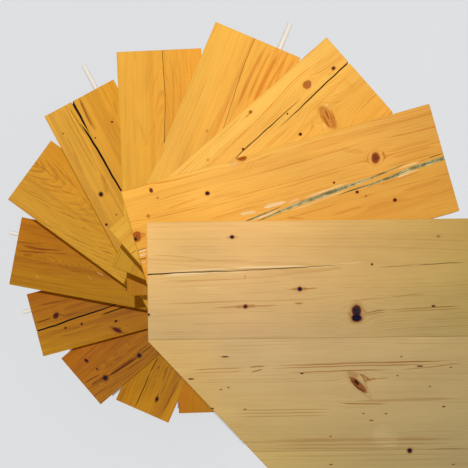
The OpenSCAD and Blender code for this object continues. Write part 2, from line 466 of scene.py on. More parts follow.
def piece(name, data):
    """Object in the frame of the model that rides on the stair and takes its finish from a slot."""
    obj = placed(name, data)
    data.polygons.foreach_set("use_smooth", np.ones(len(data.polygons), bool))
    data.set_sharp_from_angle(angle=SHARP)
    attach(obj, "root")
    return obj


def drill(data, cutters):
    """Mesh with round holes cut by an exact boolean, each (start, end, radius)."""
    for start, end, radius in cutters:
        start, end = np.array(start), np.array(end)
        along = (end - start) / np.linalg.norm(end - start)
        side = np.cross(along, (0, 0, 1) if abs(along[2]) < 0.9 else (1, 0, 0))
        side = side / np.linalg.norm(side)
        angles = np.linspace(0, 2 * math.pi, BORE_SIDES, endpoint=False)
        ring = radius * (np.outer(np.cos(angles), side) + np.outer(np.sin(angles), np.cross(along, side)))
        low = list(range(BORE_SIDES))
        high = [BORE_SIDES + n for n in low]
        after = low[1:] + low[:1]
        quads = [(n, m, BORE_SIDES + m, BORE_SIDES + n) for n, m in zip(low, after)]
        points = np.concatenate([start + ring, end + ring]).tolist()
        cutter = bpy.data.meshes.new("cutter")
        cutter.from_pydata(points, [], quads + [low[::-1], high])
        tool, work = placed("cutter", cutter), placed("work", data)
        cut = work.modifiers.new("hole", "BOOLEAN")
        cut.object = tool
        cut.solver = "EXACT"
        result = work.evaluated_get(bpy.context.evaluated_depsgraph_get())
        data = bpy.data.meshes.new_from_object(result)
        bpy.data.objects.remove(work)
        bpy.data.objects.remove(tool)
    return data


# Shader nodes

OBJECT_OUT = 3
MIX_A, MIX_B, MIX_OUT = 6, 7, 2


class Nodes:
    """Adds nodes to one tree. A value that is a socket is linked, any other is set."""

    def __init__(self, tree):
        self.tree = tree

    def add(self, kind, *values, out=0, **settings):
        node = self.tree.nodes.new("ShaderNode" + kind)
        for name, value in settings.items():
            setattr(node, name, value)
        for n, value in enumerate(values):
            self.feed(node.inputs[n], value)
        return node.outputs[out]

    def feed(self, socket, value):
        if isinstance(value, bpy.types.NodeSocket):
            self.tree.links.new(value, socket)
        elif value is not None:
            socket.default_value = value

    def math(self, operation, *values, clamp=False):
        return self.add("Math", *values, operation=operation, use_clamp=clamp)

    def plus(self, one, other):
        return self.math("ADD", one, other)

    def minus(self, one, other, clamp=False):
        return self.math("SUBTRACT", one, other, clamp=clamp)

    def times(self, one, other, clamp=False):
        return self.math("MULTIPLY", one, other, clamp=clamp)

    def over(self, one, other, clamp=False):
        return self.math("DIVIDE", one, other, clamp=clamp)

    def most(self, one, other, clamp=False):
        return self.math("MAXIMUM", one, other, clamp=clamp)

    def apart(self, one, other):
        """How far two values lie apart."""
        return self.math("ABSOLUTE", self.minus(one, other))

    def scaled(self, value, factor, term, clamp=False):
        """value times factor, plus term"""
        return self.math("MULTIPLY_ADD", value, factor, term, clamp=clamp)

    def vector(self, operation, *values, out=0):
        return self.add("VectorMath", *values, operation=operation, out=out)

    def split(self, vector):
        node = self.tree.nodes.new("ShaderNodeSeparateXYZ")
        self.feed(node.inputs[0], vector)
        return node.outputs[:3]

    def ramp(self, value, low, high, to_low=0.0, to_high=1.0):
        """Smooth step: to_low up to low, to_high from high on."""
        return self.add("MapRange", value, low, high, to_low, to_high, interpolation_type="SMOOTHSTEP")

    def mix(self, share, one, other):
        node = self.tree.nodes.new("ShaderNodeMix")
        node.data_type = "RGBA"
        self.feed(node.inputs[0], share)
        self.feed(node.inputs[MIX_A], one)
        self.feed(node.inputs[MIX_B], other)
        return node.outputs[MIX_OUT]

    def noise(self, place, stretch, seed, detail=2.0, rough=0.5):
        """Cloudy noise from 0 to 1, with its size along, across and through the wood in millimetres."""
        scaled = self.vector("MULTIPLY", place, tuple(1 / size for size in stretch))
        moved = self.vector("ADD", scaled, self.add("CombineXYZ", seed, seed, seed))
        return self.add("TexNoise", moved, None, 1.0, detail, rough)

    def millimetres(self):
        """Object coordinates in millimetres."""
        return self.vector("MULTIPLY", self.add("TexCoord", out=OBJECT_OUT), (1 / MM, 1 / MM, 1 / MM))

    def group(self, name, values):
        """One of the groups below, with its inputs by name. Gives its outputs by name."""
        node = self.tree.nodes.new("ShaderNodeGroup")
        node.node_tree = GROUPS[name]
        for key, value in values.items():
            self.feed(node.inputs[key], value)
        return {output.name: output for output in node.outputs}


GROUPS = {}
WHITE = (1, 1, 1, 1)
TRACE = (1e-7, 1e-7, 1e-7)
NO_KNOT = 9.0

# Clouds in the wood: size along, across and through it in millimetres, shift of the seed, detail
# and roughness
CLOUDS = {
    "broad": ((430, 95, 95), 0, 1.0, 0.5), "fine": ((60, 26, 26), 0, 2.0, 0.5),
    "dip": ((240, 500, 500), 7, 1.0, 0.5), "zone": ((500, 60, 60), 2, 1.0, 0.5),
    "gaps": ((110, 12, 12), 4, 2.0, 0.5), "wide": ((1200, 26, 26), 3, 1.0, 0.5),
    "thread": ((190, 3.4, 3.4), 9, 3.0, 0.5), "blotch": ((210, 80, 80), 5, 3.0, 0.5),
    "fibre": ((30, 1.1, 1.1), 0, 3.0, 0.6), "mottle": ((4, 4, 4), 0, 3.0, 0.65),
}
# Where the painted light and shade of the outer end and of the front edge are fully reached, along and
# across, and between which distances the painted shade at the inner end fades, in millimetres
FAR_LIGHT_AT, FRONT_LIGHT_AT, INNER_SHADE_TO = 860.0, 300.0, (60, 260)
# Factors on the dark tone of the wood for strong stripes, for grain in a knot and for a knot's wood
STREAK = (0.42, 0.26, 0.2)
KNOT_GRAIN = (0.62, 0.36, 0.3)
KNOT_LIGHT, KNOT_BROWN, KNOT_AGED = linear(255, 236, 210), linear(166, 100, 74), linear(150, 118, 138)
# Factors on the light tone for the pale rim of a knot, and the plain colours of what lies over the wood
PALE_RIM = (1.0, 1.15, 2.2)
RED_RIM, SPLINTER, DARK_LINE = linear(120, 48, 14), linear(255, 224, 172), linear(44, 24, 10)


def new_group(name, inputs, outputs):
    """Empty node group with named inputs (name: default) and outputs (name: kind)."""
    tree = bpy.data.node_groups.new(name, "ShaderNodeTree")
    for key, default in inputs.items():
        kind = "Float" if isinstance(default, (int, float)) else "Color" if len(default) == 4 else "Vector"
        socket = tree.interface.new_socket(key, in_out="INPUT", socket_type="NodeSocket" + kind)
        socket.default_value = default
    for key, kind in outputs.items():
        tree.interface.new_socket(key, in_out="OUTPUT", socket_type="NodeSocket" + kind)
    GROUPS[name] = tree
    nodes = Nodes(tree)
    source = tree.nodes.new("NodeGroupInput")
    sink = tree.nodes.new("NodeGroupOutput")
    return nodes, {socket.name: socket for socket in source.outputs if socket.name}, sink.inputs


def build_knot_group():
    """A branch cut across. Near is the distance to the nearest knot, 1 at its rim, Tone says how dark
    that knot is, and Bend is how far the grain is pushed aside by all knots. Place is handed on with a
    trace of the result, so that the marks are worked out one after another and few values are held."""
    n, i, sink = new_group("Knot", {
        "Place": (0, 0, 0), "Bend": 0.0, "Near": NO_KNOT, "Tone": 0.0, "Ragged": 1.0, "Centre": (0, 0, 0),
        "Radius": 5.0, "Shrink": (0.2, 0.2, 0), "Slant": 0.0, "Own tone": 1.0,
    }, {"Bend": "Float", "Near": "Float", "Tone": "Float", "Place": "Vector"})
    away = n.vector("SUBTRACT", i["Place"], i["Centre"])
    a, b = n.split(n.vector("MULTIPLY", away, i["Shrink"]))[:2]
    shape = n.vector("LENGTH", n.add("CombineXYZ", n.minus(a, n.times(i["Slant"], b)), b, 0.0), out=1)
    near = n.times(shape, i["Ragged"])
    far = n.vector("LENGTH", n.add("CombineXYZ", n.times(a, 0.4), n.times(b, 0.8), 0.0), out=1)
    push = n.over(n.times(b, i["Radius"]), n.plus(n.math("POWER", far, 2.0), 0.1))
    n.feed(sink["Bend"], n.minus(i["Bend"], push))
    n.feed(sink["Near"], n.math("MINIMUM", i["Near"], near))
    closer = n.math("LESS_THAN", near, i["Near"])
    result = n.scaled(closer, n.minus(i["Own tone"], i["Tone"]), i["Tone"])
    n.feed(sink["Tone"], result)
    n.feed(sink["Place"], n.vector("MULTIPLY_ADD", result, TRACE, i["Place"]))


def build_streak_group():
    """A thin line in the wood from one point to another, bowed and tapered, over the lines before it."""
    n, i, sink = new_group("Streak", {
        "Place": (0, 0, 0), "Mark": 0.0, "Sway": 0.0, "From": (0, 0, 0), "Ahead": (1, 0, 0),
        "Side": (0, 1, 0), "Bow": 0.0, "Tone": 1.0,
    }, {"Mark": "Float", "Place": "Vector"})
    place = n.vector("SUBTRACT", i["Place"], i["From"])
    share = n.vector("DOT_PRODUCT", place, i["Ahead"], out=1)
    side = n.plus(n.vector("DOT_PRODUCT", place, i["Side"], out=1), i["Sway"])
    arc = n.times(share, n.minus(1.0, share))
    off = n.apart(side, n.times(arc, i["Bow"]))
    taper = n.times(n.most(arc, 0.0), 5.5, clamp=True)
    body = n.ramp(n.minus(taper, off), 0.0, 0.75)
    result = n.most(i["Mark"], n.times(body, i["Tone"]))
    n.feed(sink["Mark"], result)
    n.feed(sink["Place"], n.vector("MULTIPLY_ADD", result, TRACE, i["Place"]))


def late_wood(n, i, cloud, a, b, z):
    """Dark bands of the year rings, from 0 to 1. Rings count the distance from the pith line in ring
    widths, swayed by clouds and pushed aside by knots. Each band rises slowly and ends sharply."""
    pith_b, pith_z, tilt = n.split(i["Pith"])
    broad = n.minus(cloud("broad"), 0.5)
    fine = n.minus(cloud("fine"), 0.5)
    sway = n.plus(n.times(broad, i["Wander"]), n.times(fine, i["Ragged"]))
    across = n.plus(n.minus(n.plus(b, i["Bend"]), pith_b), sway)
    dip = n.minus(cloud("dip"), 0.5)
    rise = n.minus(z, n.scaled(tilt, a, pith_z))
    rise = n.plus(rise, n.scaled(dip, i["Wander"], n.times(fine, i["Ragged"])))
    radius = n.math("SQRT", n.plus(n.math("POWER", across, 2.0), n.math("POWER", rise, 2.0)))
    years = n.over(radius, i["Ring"])
    swell = n.add("TexNoise", None, n.scaled(years, 0.27, i["Seed"]), 1.0, 1.0, 0.5, noise_dimensions="1D")
    rings = n.plus(years, n.scaled(swell, 1.6, n.times(i["Seed"], 3.7)))
    cell = n.math("FLOOR", rings)
    part = n.minus(rings, cell)
    own = n.math("POWER", n.add("TexWhiteNoise", None, cell, noise_dimensions="1D"), 1.6)
    late = n.times(n.ramp(part, 0.12, 0.88), n.ramp(part, 1.0, 0.92))
    zone = n.ramp(cloud("zone"), 0.35, 0.65)
    late = n.times(late, n.scaled(own, 0.8, n.scaled(zone, 0.35, 0.15)))
    return n.times(late, n.ramp(cloud("gaps"), 0.36, 0.62, 0.25))


def knots_over(n, i, colour, mottle):
    """The colour with knots over it, and where their dark hearts are. A knot is a disc with rings of its
    own, a pale rim outside, a red rim at its edge, and a heart that grows with its tone."""
    year = n.scaled(n.math("SINE", n.times(i["Near"], 17.0)), 0.5, 0.5)
    year = n.scaled(year, 0.4, n.times(mottle, 0.7))
    branch = n.vector("MULTIPLY", i["Line"], n.mix(year, KNOT_LIGHT, KNOT_BROWN))
    branch = n.vector("MULTIPLY", branch, n.mix(n.ramp(i["Tone"], 0.4, 0.8), WHITE, KNOT_AGED))
    disc = n.times(n.ramp(i["Near"], 1.14, 0.9), n.scaled(i["Tone"], 1.4, 0.3, clamp=True))
    colour = n.mix(disc, colour, branch)
    grained = n.times(n.times(disc, i["Stripes"]), 0.75)
    colour = n.mix(grained, colour, n.vector("MULTIPLY", i["Line"], KNOT_GRAIN))
    pale_rim = n.times(n.ramp(n.apart(i["Near"], 1.26), 0.2, 0.04), n.ramp(mottle, 0.45, 0.62))
    ripe = n.ramp(n.apart(i["Tone"], 0.5), 0.3, 0.1, 0.0, 0.45)
    colour = n.mix(n.times(pale_rim, ripe), colour, n.vector("MULTIPLY", i["Light"], PALE_RIM))
    red_rim = n.ramp(n.apart(i["Near"], 1.0), 0.24, 0.04)
    colour = n.mix(n.times(red_rim, n.scaled(i["Tone"], 0.35, 0.1)), colour, RED_RIM)
    limit = n.scaled(i["Tone"], 0.62, 0.24)
    heart = n.ramp(n.minus(i["Near"], limit), 0.08, -0.08)
    patchy = n.most(n.ramp(mottle, 0.3, 0.6, 0.5), n.ramp(i["Tone"], 0.75, 0.95))
    black = n.times(n.times(heart, patchy), n.ramp(i["Tone"], 0.35, 0.8))
    return n.mix(black, colour, i["Core"]), black


def build_pine_group():
    """Sawn pine: year rings, warm stripes, fibres and broad tone, then knots, raised splinters and dark
    lines over it. Painted light and shade, with some of the wood's own change in tone, change the colour
    evenly from corner to corner of the board, and painted shade darkens its inner end."""
    n, i, sink = new_group("Pine", {
        "Place": (0, 0, 0), "Bend": 0.0, "Near": NO_KNOT, "Tone": 0.0, "Lines": 0.0, "Pale": 0.0,
        "Stripes": 0.0, "Light": (0.8, 0.6, 0.3, 1), "Line": (0.6, 0.35, 0.12, 1),
        "Core": (0.01, 0.004, 0.006, 1), "Far light": WHITE, "Front light": WHITE, "Corner light": WHITE, "Inner shade": WHITE,
        "Ring": 6.0, "Pith": (0, -60, 0), "Wander": 12.0, "Ragged": 2.0, "Contrast": 0.7, "Warmth": 0.5,
        "Seed": 0.0,
    }, {"Color": "Color", "Roughness": "Float", "Height": "Float"})

    def cloud(name):
        size, shift, detail, rough = CLOUDS[name]
        seed = n.plus(i["Seed"], float(shift)) if shift else i["Seed"]
        return n.noise(i["Place"], size, seed, detail, rough)

    a, b, z = n.split(i["Place"])
    late = late_wood(n, i, cloud, a, b, z)
    wide = n.ramp(cloud("wide"), 0.42, 0.7)
    thread = cloud("thread")
    strands = n.ramp(thread, 0.46, 0.72)
    blotch = cloud("blotch")
    fibre = cloud("fibre")
    stripes = n.times(i["Stripes"], n.scaled(strands, 0.5, 0.65))
    warm = n.times(n.most(wide, n.times(strands, 0.6)), i["Warmth"])
    halo = n.times(n.ramp(i["Near"], 2.2, 1.0), n.scaled(i["Tone"], 0.45, 0.25))
    warm = n.most(warm, halo)
    dark = n.most(n.times(late, i["Contrast"]), warm, clamp=True)
    colour = n.mix(dark, i["Light"], i["Line"])
    colour = n.mix(stripes, colour, i["Line"])
    colour = n.mix(n.minus(stripes, 1.0, clamp=True), colour, n.vector("MULTIPLY", i["Line"], STREAK))
    level = n.scaled(blotch, 0.24, 0.88)
    level = n.times(level, n.scaled(fibre, 0.14, 0.93))
    level = n.times(level, n.scaled(thread, 0.2, 0.9))
    # Painted light and shade: the colour is scaled from end to end and edge to edge, and darkened at the
    # inner end
    out = n.over(a, FAR_LIGHT_AT, clamp=True)
    back, front = n.mix(out, WHITE, i["Far light"]), n.mix(out, i["Front light"], i["Corner light"])
    colour = n.vector("MULTIPLY", colour, n.mix(n.over(b, FRONT_LIGHT_AT, clamp=True), back, front))
    colour = n.vector("MULTIPLY", colour, n.mix(n.ramp(a, *INNER_SHADE_TO), i["Inner shade"], WHITE))
    colour = n.vector("MULTIPLY", colour, n.add("CombineXYZ", level, level, level))
    colour, black = knots_over(n, i, colour, cloud("mottle"))
    splinter = n.times(i["Pale"], n.scaled(n.ramp(thread, 0.4, 0.6), 0.75, 0.4), clamp=True)
    colour = n.mix(splinter, colour, SPLINTER)
    colour = n.mix(i["Lines"], colour, DARK_LINE)
    n.feed(sink["Color"], colour)
    rough = n.scaled(thread, 0.16, 0.46)
    rough = n.scaled(n.most(i["Lines"], i["Pale"]), 0.35, rough)
    n.feed(sink["Roughness"], n.scaled(late, -0.06, rough))
    height = n.scaled(late, 0.2, n.times(fibre, 0.2))
    height = n.scaled(black, -0.7, height)
    height = n.scaled(i["Lines"], -1.6, height)
    height = n.scaled(splinter, 0.8, height)
    n.feed(sink["Height"], height)


def build_paint_group():
    """Coated steel: faint runs and dust in the colour, and a low orange-peel height."""
    n, i, sink = new_group("Paint", {
        "Place": (0, 0, 0), "Tint": (0.8, 0.8, 0.75, 1), "Dust": (0.6, 0.55, 0.45, 1),
    }, {"Color": "Color", "Roughness": "Float", "Height": "Float"})
    peel = n.noise(i["Place"], (2.2, 2.2, 2.2), 2.0, 3.0)
    runs = n.noise(i["Place"], (24, 24, 90), 5.0, 3.0)
    speck = n.ramp(n.noise(i["Place"], (9, 9, 9), 8.0, 4.0, 0.7), 0.56, 0.75)
    n.feed(sink["Color"], n.mix(n.times(speck, n.times(runs, 0.5)), i["Tint"], i["Dust"]))
    n.feed(sink["Roughness"], n.scaled(runs, 0.2, 0.28))
    n.feed(sink["Height"], peel)


# Materials

WOOD_BUMP = 0.0006
WOOD_SHEEN = 0.08
CRACK_ROUGHNESS = 0.8
# Coated steel: tint, dust, height of its unevenness in metres, and metallic
FINISHES = {
    "white paint": (linear(236, 232, 220), linear(196, 184, 158), 0.00012, 0.0),
    "plated steel": (linear(200, 200, 196), linear(150, 146, 136), 0.00004, 0.9),
}
# Inside the cracks, in two tones: dark is painted shade of the crack's depth, brown is torn wood with
# painted shade, olive is the grey-green seen through an open crack, painted on its walls, and pale is torn
# wood
CRACK_WALLS = {
    "dark": (linear(64, 46, 20), linear(20, 20, 12)),
    "olive": (linear(222, 212, 160), linear(146, 140, 90)),
    "brown": (linear(96, 58, 22), linear(56, 32, 12)),
    "pale": (linear(150, 112, 78), linear(86, 60, 38)),
}


def new_material(name):
    """Material with an empty Principled shader, and the helper that fills its tree."""
    material = bpy.data.materials.new(name)
    material.use_nodes = True
    shader = material.node_tree.nodes["Principled BSDF"]
    return material, Nodes(material.node_tree), shader


def surface(nodes, shader, result, depth):
    """Leads a group's colour, roughness and height to the shader. depth is in metres."""
    nodes.feed(shader.inputs["Base Color"], result["Color"])
    nodes.feed(shader.inputs["Roughness"], result["Roughness"])
    bump = nodes.tree.nodes.new("ShaderNodeBump")
    bump.inputs["Strength"].default_value = 1
    bump.inputs["Distance"].default_value = depth
    nodes.feed(bump.inputs["Height"], result["Height"])
    nodes.feed(shader.inputs["Normal"], bump.outputs[0])


def board_place(nodes, plank):
    """Object coordinates turned into the board's own, in millimetres."""
    mapping = nodes.tree.nodes.new("ShaderNodeMapping")
    x, y = turned_point(-plank.corner[0], -plank.corner[1], -plank.turn)
    mapping.inputs["Location"].default_value = (x / MM, y / MM, -plank.top / MM)
    mapping.inputs["Rotation"].default_value = (0, 0, -plank.turn)
    mapping.inputs["Scale"].default_value = (1 / MM, 1 / MM, 1 / MM)
    nodes.feed(mapping.inputs["Vector"], nodes.add("TexCoord", out=OBJECT_OUT))
    return mapping.outputs[0]


def knot_values(plank, px, py, radius, tone, long=1, slant=0):
    """A knot's own inputs, from its row in KNOTS."""
    return {"Centre": plank.mark(px, py), "Radius": radius, "Shrink": (1 / radius / long, 1 / radius, 0),
            "Slant": slant / long, "Own tone": tone}


def streak_values(plank, x0, y0, x1, y1, width, strength, bow=0):
    """A streak's own inputs, from its row in LINES, PALE or STRIPES."""
    start, end = np.array(plank.mark(x0, y0)), np.array(plank.mark(x1, y1))
    ahead = (end - start) / ((end - start) @ (end - start))
    side = np.array([-ahead[1], ahead[0], 0]) / np.linalg.norm(ahead) / width
    return {"From": start, "Ahead": ahead, "Side": side, "Bow": 4 * bow / width, "Tone": strength}


def pine_material(plank, values):
    """Pine for one board, with its own knots and lines at the places that the photograph shows."""
    material, nodes, shader = new_material("pine " + plank.node)
    place = board_place(nodes, plank)
    ragged = nodes.scaled(nodes.noise(place, (8, 8, 40), 3.0), 0.36, 0.82)
    sway = nodes.scaled(nodes.noise(place, (38, 400, 400), 6.0), 3.0, -1.5)
    result = {"Place": place, "Bend": 0.0, "Near": NO_KNOT, "Tone": 0.0}
    for row in KNOTS.get(plank.node, ()):
        result = nodes.group("Knot", {**result, "Ragged": ragged, **knot_values(plank, *row)})
    place = result.pop("Place")
    for kind, table in (("Lines", LINES), ("Pale", PALE), ("Stripes", STRIPES)):
        result[kind] = 0.0
        for row in table.get(plank.node, ()):
            width = row[4]
            streak = nodes.group("Streak", {
                "Place": place, "Mark": result[kind], "Sway": nodes.over(sway, width),
                **streak_values(plank, *row),
            })
            result[kind], place = streak["Mark"], streak["Place"]
    surface(nodes, shader, nodes.group("Pine", {"Place": place, **result, **values}), WOOD_BUMP)
    shader.inputs["Specular IOR Level"].default_value = WOOD_SHEEN
    return material


def crack_material(name, light, dark):
    """Walls of a crack in blotches of two tones: torn wood, painted shade or a painted see-through colour.
    """
    material, nodes, shader = new_material(name)
    tone = nodes.ramp(nodes.noise(nodes.millimetres(), (26, 26, 26), 4.0, 3.0, 0.6), 0.36, 0.64)
    nodes.feed(shader.inputs["Base Color"], nodes.mix(tone, light, dark))
    shader.inputs["Roughness"].default_value = CRACK_ROUGHNESS
    return material


def metal_material(name):
    """Steel with one of the finishes, made when it is first asked for."""
    if name in bpy.data.materials:
        return bpy.data.materials[name]
    tint, dust, depth, metallic = FINISHES[name]
    material, nodes, shader = new_material(name)
    result = nodes.group("Paint", {"Place": nodes.millimetres(), "Tint": tint, "Dust": dust})
    surface(nodes, shader, result, depth)
    shader.inputs["Metallic"].default_value = metallic
    return material


# Tables of the boards

def wood(light, line, ring, pith, wander=10, ragged=2, contrast=0.5, warmth=0.25, seed=0.0,
         far=(255, 255, 255), front=(255, 255, 255), core=(20, 8, 8), inner=(255, 255, 255),
         corner=(1, 1, 1)):
    """The look of one board, as inputs of the Pine group. Tones are screen values.
    light, line: wood between the year rings, and the dark of the rings. ring: width of a ring in mm.
    pith: where the rings' middle line runs, as mm across, height from the top and slope along.
    wander, ragged: how far the rings sway, broadly and finely, in mm. contrast, warmth: strength of
    the rings and of the warm bands. far, front, inner: factors on the colour at the outer end, at the
    front edge and at the inner end, with 255 for none. far and front are painted light and shade with
    some of the wood's own change in tone; inner is painted shade under the treads above. corner:
    further factors where far and front meet. core: the dark heart of knots."""
    return {"Light": linear(*light), "Line": linear(*line), "Far light": linear(*far), "Front light": linear(*front),
            "Core": linear(*core), "Inner shade": linear(*inner),
            "Corner light": [x * y * z for x, y, z in zip(linear(*far), linear(*front), (*corner, 1))],
            "Ring": ring, "Pith": pith, "Wander": wander, "Ragged": ragged, "Contrast": contrast,
            "Warmth": warmth, "Seed": seed}


# Hearts of the knots in the landing
NAVY = (6, 10, 34)

# The tones and factors of the boards that the photograph shows aren't chosen: a least-squares fit to
# the photograph's mean colours, in windows on each board, gave them. The lower treads' darker, deeper
# tones are partly the wood's own and partly painted shade, as light falls off down the stair. The
# lowest tread's are chosen.
WOODS = {
    "tread_01": wood((242, 171, 56), (206, 116, 19), 7, (330, -60, 0.02), 20, 3, 0.7, 0.4, 1.3,
        far=(235, 242, 279), front=(288, 313, 411), inner=(241, 233, 209), corner=(0.82, 0.67, 0.45)),
    "tread_02": wood((233, 176, 59), (208, 125, 20), 8, (-150, -60, 0.03), 16, 4, 0.9, 0.3, 2.1,
        far=(264, 257, 277), front=(285, 308, 411), inner=(227, 218, 168), corner=(0.89, 0.83, 0.67)),
    "tread_03": wood((219, 157, 45), (190, 104, 13), 6, (420, -60, 0), 14, 4, 0.7, 0.4, 3.6,
        far=(294, 297, 371), front=(272, 296, 411), inner=(216, 210, 128), corner=(0.86, 0.8, 0.41)),
    "tread_04": wood((203, 142, 29), (172, 99, 9), 5, (146, 11, -0.08), 8, 3, 0.5, 0.3, 4.2,
        far=(305, 305, 411), front=(287, 313, 411), inner=(206, 181, 89), corner=(0.76, 0.71, 0.5)),
    "tread_05": wood((195, 137, 23), (145, 88, 7), 6.5, (330, -80, 0), 12, 4, 0.75, 0.4, 5.7,
        far=(305, 305, 355), front=(281, 290, 411), corner=(0.79, 0.83, 0.9)),
    "tread_06": wood((213, 146, 14), (164, 90, 2), 10, (117, -254, 0.25), 8, 6, 0.72, 0.25, 6.4,
        far=(263, 263, 411), front=(254, 277, 411), corner=(0.92, 0.88, 0.78)),
    "tread_07": wood((184, 119, 1), (126, 51, 0), 3.4, (163, -126, 0.14), 6, 2.5, 0.7, 0.4, 7.5,
        far=(264, 248, 311), front=(242, 267, 411), corner=(1.03, 1.1, 2.2)),
    "tread_08": wood((161, 80, 1), (103, 38, 1), 7, (-80, -60, 0.03), 16, 7, 0.75, 0.5, 8.8,
        far=(268, 302, 411), front=(238, 256, 411), corner=(1.65, 2.2, 2.11)),
    "tread_09": wood((163, 84, 1), (96, 30, 0), 5, (160, -40, -0.05), 20, 6, 0.8, 0.25, 9.1,
        far=(276, 305, 411), front=(242, 300, 411), corner=(1.1, 0.84, 2.2)),
    "tread_10": wood((161, 108, 1), (98, 46, 1), 7, (140, -75, 0.09), 22, 8, 0.9, 0.4, 10.9,
        far=(305, 305, 400), front=(188, 189, 411), corner=(2.2, 2.2, 2.2)),
    "tread_11": wood((232, 144, 1), (222, 116, 1), 9, (150, -40, 0.02), 18, 4, 0.9, 0.4, 11.2,
        far=(203, 208, 411), front=(237, 265, 411), corner=(1, 1.04, 2.2)),
    "tread_12": wood((198, 130, 20), (156, 84, 8), 9, (90, -50, 0.03), 18, 4, 0.9, 0.4, 12.4),
    "landing_plank_1": wood((217, 177, 125), (177, 122, 64), 5.5, (165, -30, -0.03), 6, 1.5, 0.36, 0.15,
        13.5, far=(191, 203, 170), front=(313, 297, 264), inner=(240, 244, 232), corner=(0.82, 0.82, 0.72),
        core=NAVY),
    "landing_plank_2": wood((201, 167, 97), (163, 111, 47), 5, (420, -120, 0), 8, 1.5, 0.34, 0.12, 14.1,
        far=(206, 219, 261), front=(274, 273, 332), inner=(260, 256, 229), corner=(1.11, 1.03, 0.52),
        core=NAVY),
    "landing_plank_3": wood((185, 165, 100), (154, 114, 52), 5.5, (-100, -70, 0), 8, 1.5, 0.34, 0.15, 15.6,
        far=(197, 205, 242), front=(286, 271, 259), corner=(0.99, 0.98, 1.02), core=NAVY),
}

# What the photograph shows on each board. Places are pixels of it, and sizes are millimetres.
# Knots: x, y, half width across the board, darkness, and where it isn't round, length by width and slant.
# Many of the half widths and darknesses were fitted to the photograph's grey values.
KNOTS = {
    "tread_01": [(375.6, 157.8, 13.5, 0.56, 0.8, 0.1), (241.8, 158.2, 7.2, 0.4, 1.6, -0.5),
        (136.8, 236.6, 13, 0.45, 0.95, 0.2), (135.8, 238.4, 7.5, 0.9), (142.6, 234.8, 6, 0.06, 1.2),
        (151.1, 190.4, 6.21, 0.64, 0.7), (207.4, 193.3, 5.1, 0.86, 1.1), (148.3, 216, 4.4, 0.24),
        (334, 182.6, 2.8, 0.64, 1.1), (357.2, 192, 3.6, 0.98, 1.05), (395, 200, 4.7, 0.73, 1.05),
        (437, 160.3, 2.6, 1), (157.6, 198, 3.3, 0.16), (366, 196, 3, 0.24)],
    "tread_02": [(307.3, 84.6, 11.2, 0.39, 1.15), (333.5, 68.2, 5.1, 0.64, 1.2),
        (250.5, 112, 4.4, 0.44, 1.2), (287.3, 113.7, 2.63, 0.64), (327.8, 117.5, 37, 0.14, 0.44, 0.08),
        (300.3, 134.2, 4.6, 0.8), (243, 149, 3.57, 0.64), (208, 160, 4.2, 0.04)],
    "tread_03": [(207, 131, 3.9, 0.08), (262, 110, 2, 0.15)],
    "tread_05": [(101, 194.3, 7.5, 0.94, 1.1), (106.4, 224.6, 5.02, 0.64), (112, 121.9, 3.6, 0.81),
        (95.3, 137.9, 2.8, 0.64), (63, 133.6, 3.5, 0.27), (116.4, 214.7, 2.8, 0.38)],
    "tread_06": [(83.5, 228, 3.2, 0.14)],
    "tread_08": [(56, 315.6, 13, 0.52, 1, 0.3), (65.5, 328, 4.6, 0.95), (81.7, 324, 5, 1),
        (116, 321.2, 4.8, 0.97, 1.3), (117.3, 330.2, 15, 0.5, 0.85, -0.8)],
    "tread_09": [(86.3, 360.6, 10, 1, 0.62, -0.15), (105.3, 378, 12.1, 1), (139.2, 355.5, 10.2, 1),
        (96.7, 369, 4, 0.74)],
    "tread_10": [(156.9, 399.1, 7.3, 1, 1.5, 0.2)],
    "landing_plank_1": [(356.6, 310.9, 14.2, 0.8, 0.78), (356.7, 318, 9.2, 1, 1.3),
        (232, 237, 4.3, 0.98, 1.1), (299.8, 289, 5.1, 1, 1.05), (245.4, 306.5, 4.7, 0.84, 1.1),
        (372, 264.3, 2.63, 0.64), (433.5, 306, 2.63, 0.64, 1.8), (438.5, 236.2, 2.7, 0.21, 1.6),
        (148, 314.7, 2.8, 0.7, 1.6), (245, 276.8, 3.8, 0.08, 0.3), (298.8, 303.4, 1.9, 0.18, 4)],
    "landing_plank_2": [(358.4, 385, 18.5, 0.36, 0.56, -0.9), (225, 356.8, 1.6, 0.66, 5, 0.1),
        (302, 373.5, 1.6, 0.66, 2.6), (401.5, 356.5, 1.3, 0.5, 2), (420, 366.2, 1.6, 0.66, 4.4),
        (451, 367.3, 1.3, 0.5, 2), (191, 379, 1.6, 0.66, 4), (228.5, 387.5, 1.3, 0.5, 2),
        (221, 389.5, 1.3, 0.5, 2), (444, 406.7, 1.6, 0.66, 2.2), (386, 413.7, 1.3, 0.5, 2.2),
        (371.5, 420.5, 1.3, 0.5, 3.2), (330.7, 436.5, 1.3, 0.5, 2), (245, 409.3, 1.3, 0.5, 2.2),
        (409.7, 450.6, 5.6, 0.89), (363.5, 413.5, 1.3, 0.5, 2), (397.5, 375.7, 1.3, 0.5, 2),
        (430, 386.5, 1.3, 0.5, 2), (212.5, 408.5, 1.6, 0.66, 2)],
    "landing_plank_3": [(453.5, 464.5, 1.3, 0.5, 2.6), (331, 464.5, 1.3, 0.5, 3.2),
        (409.7, 450.6, 5.6, 0.89)],
}
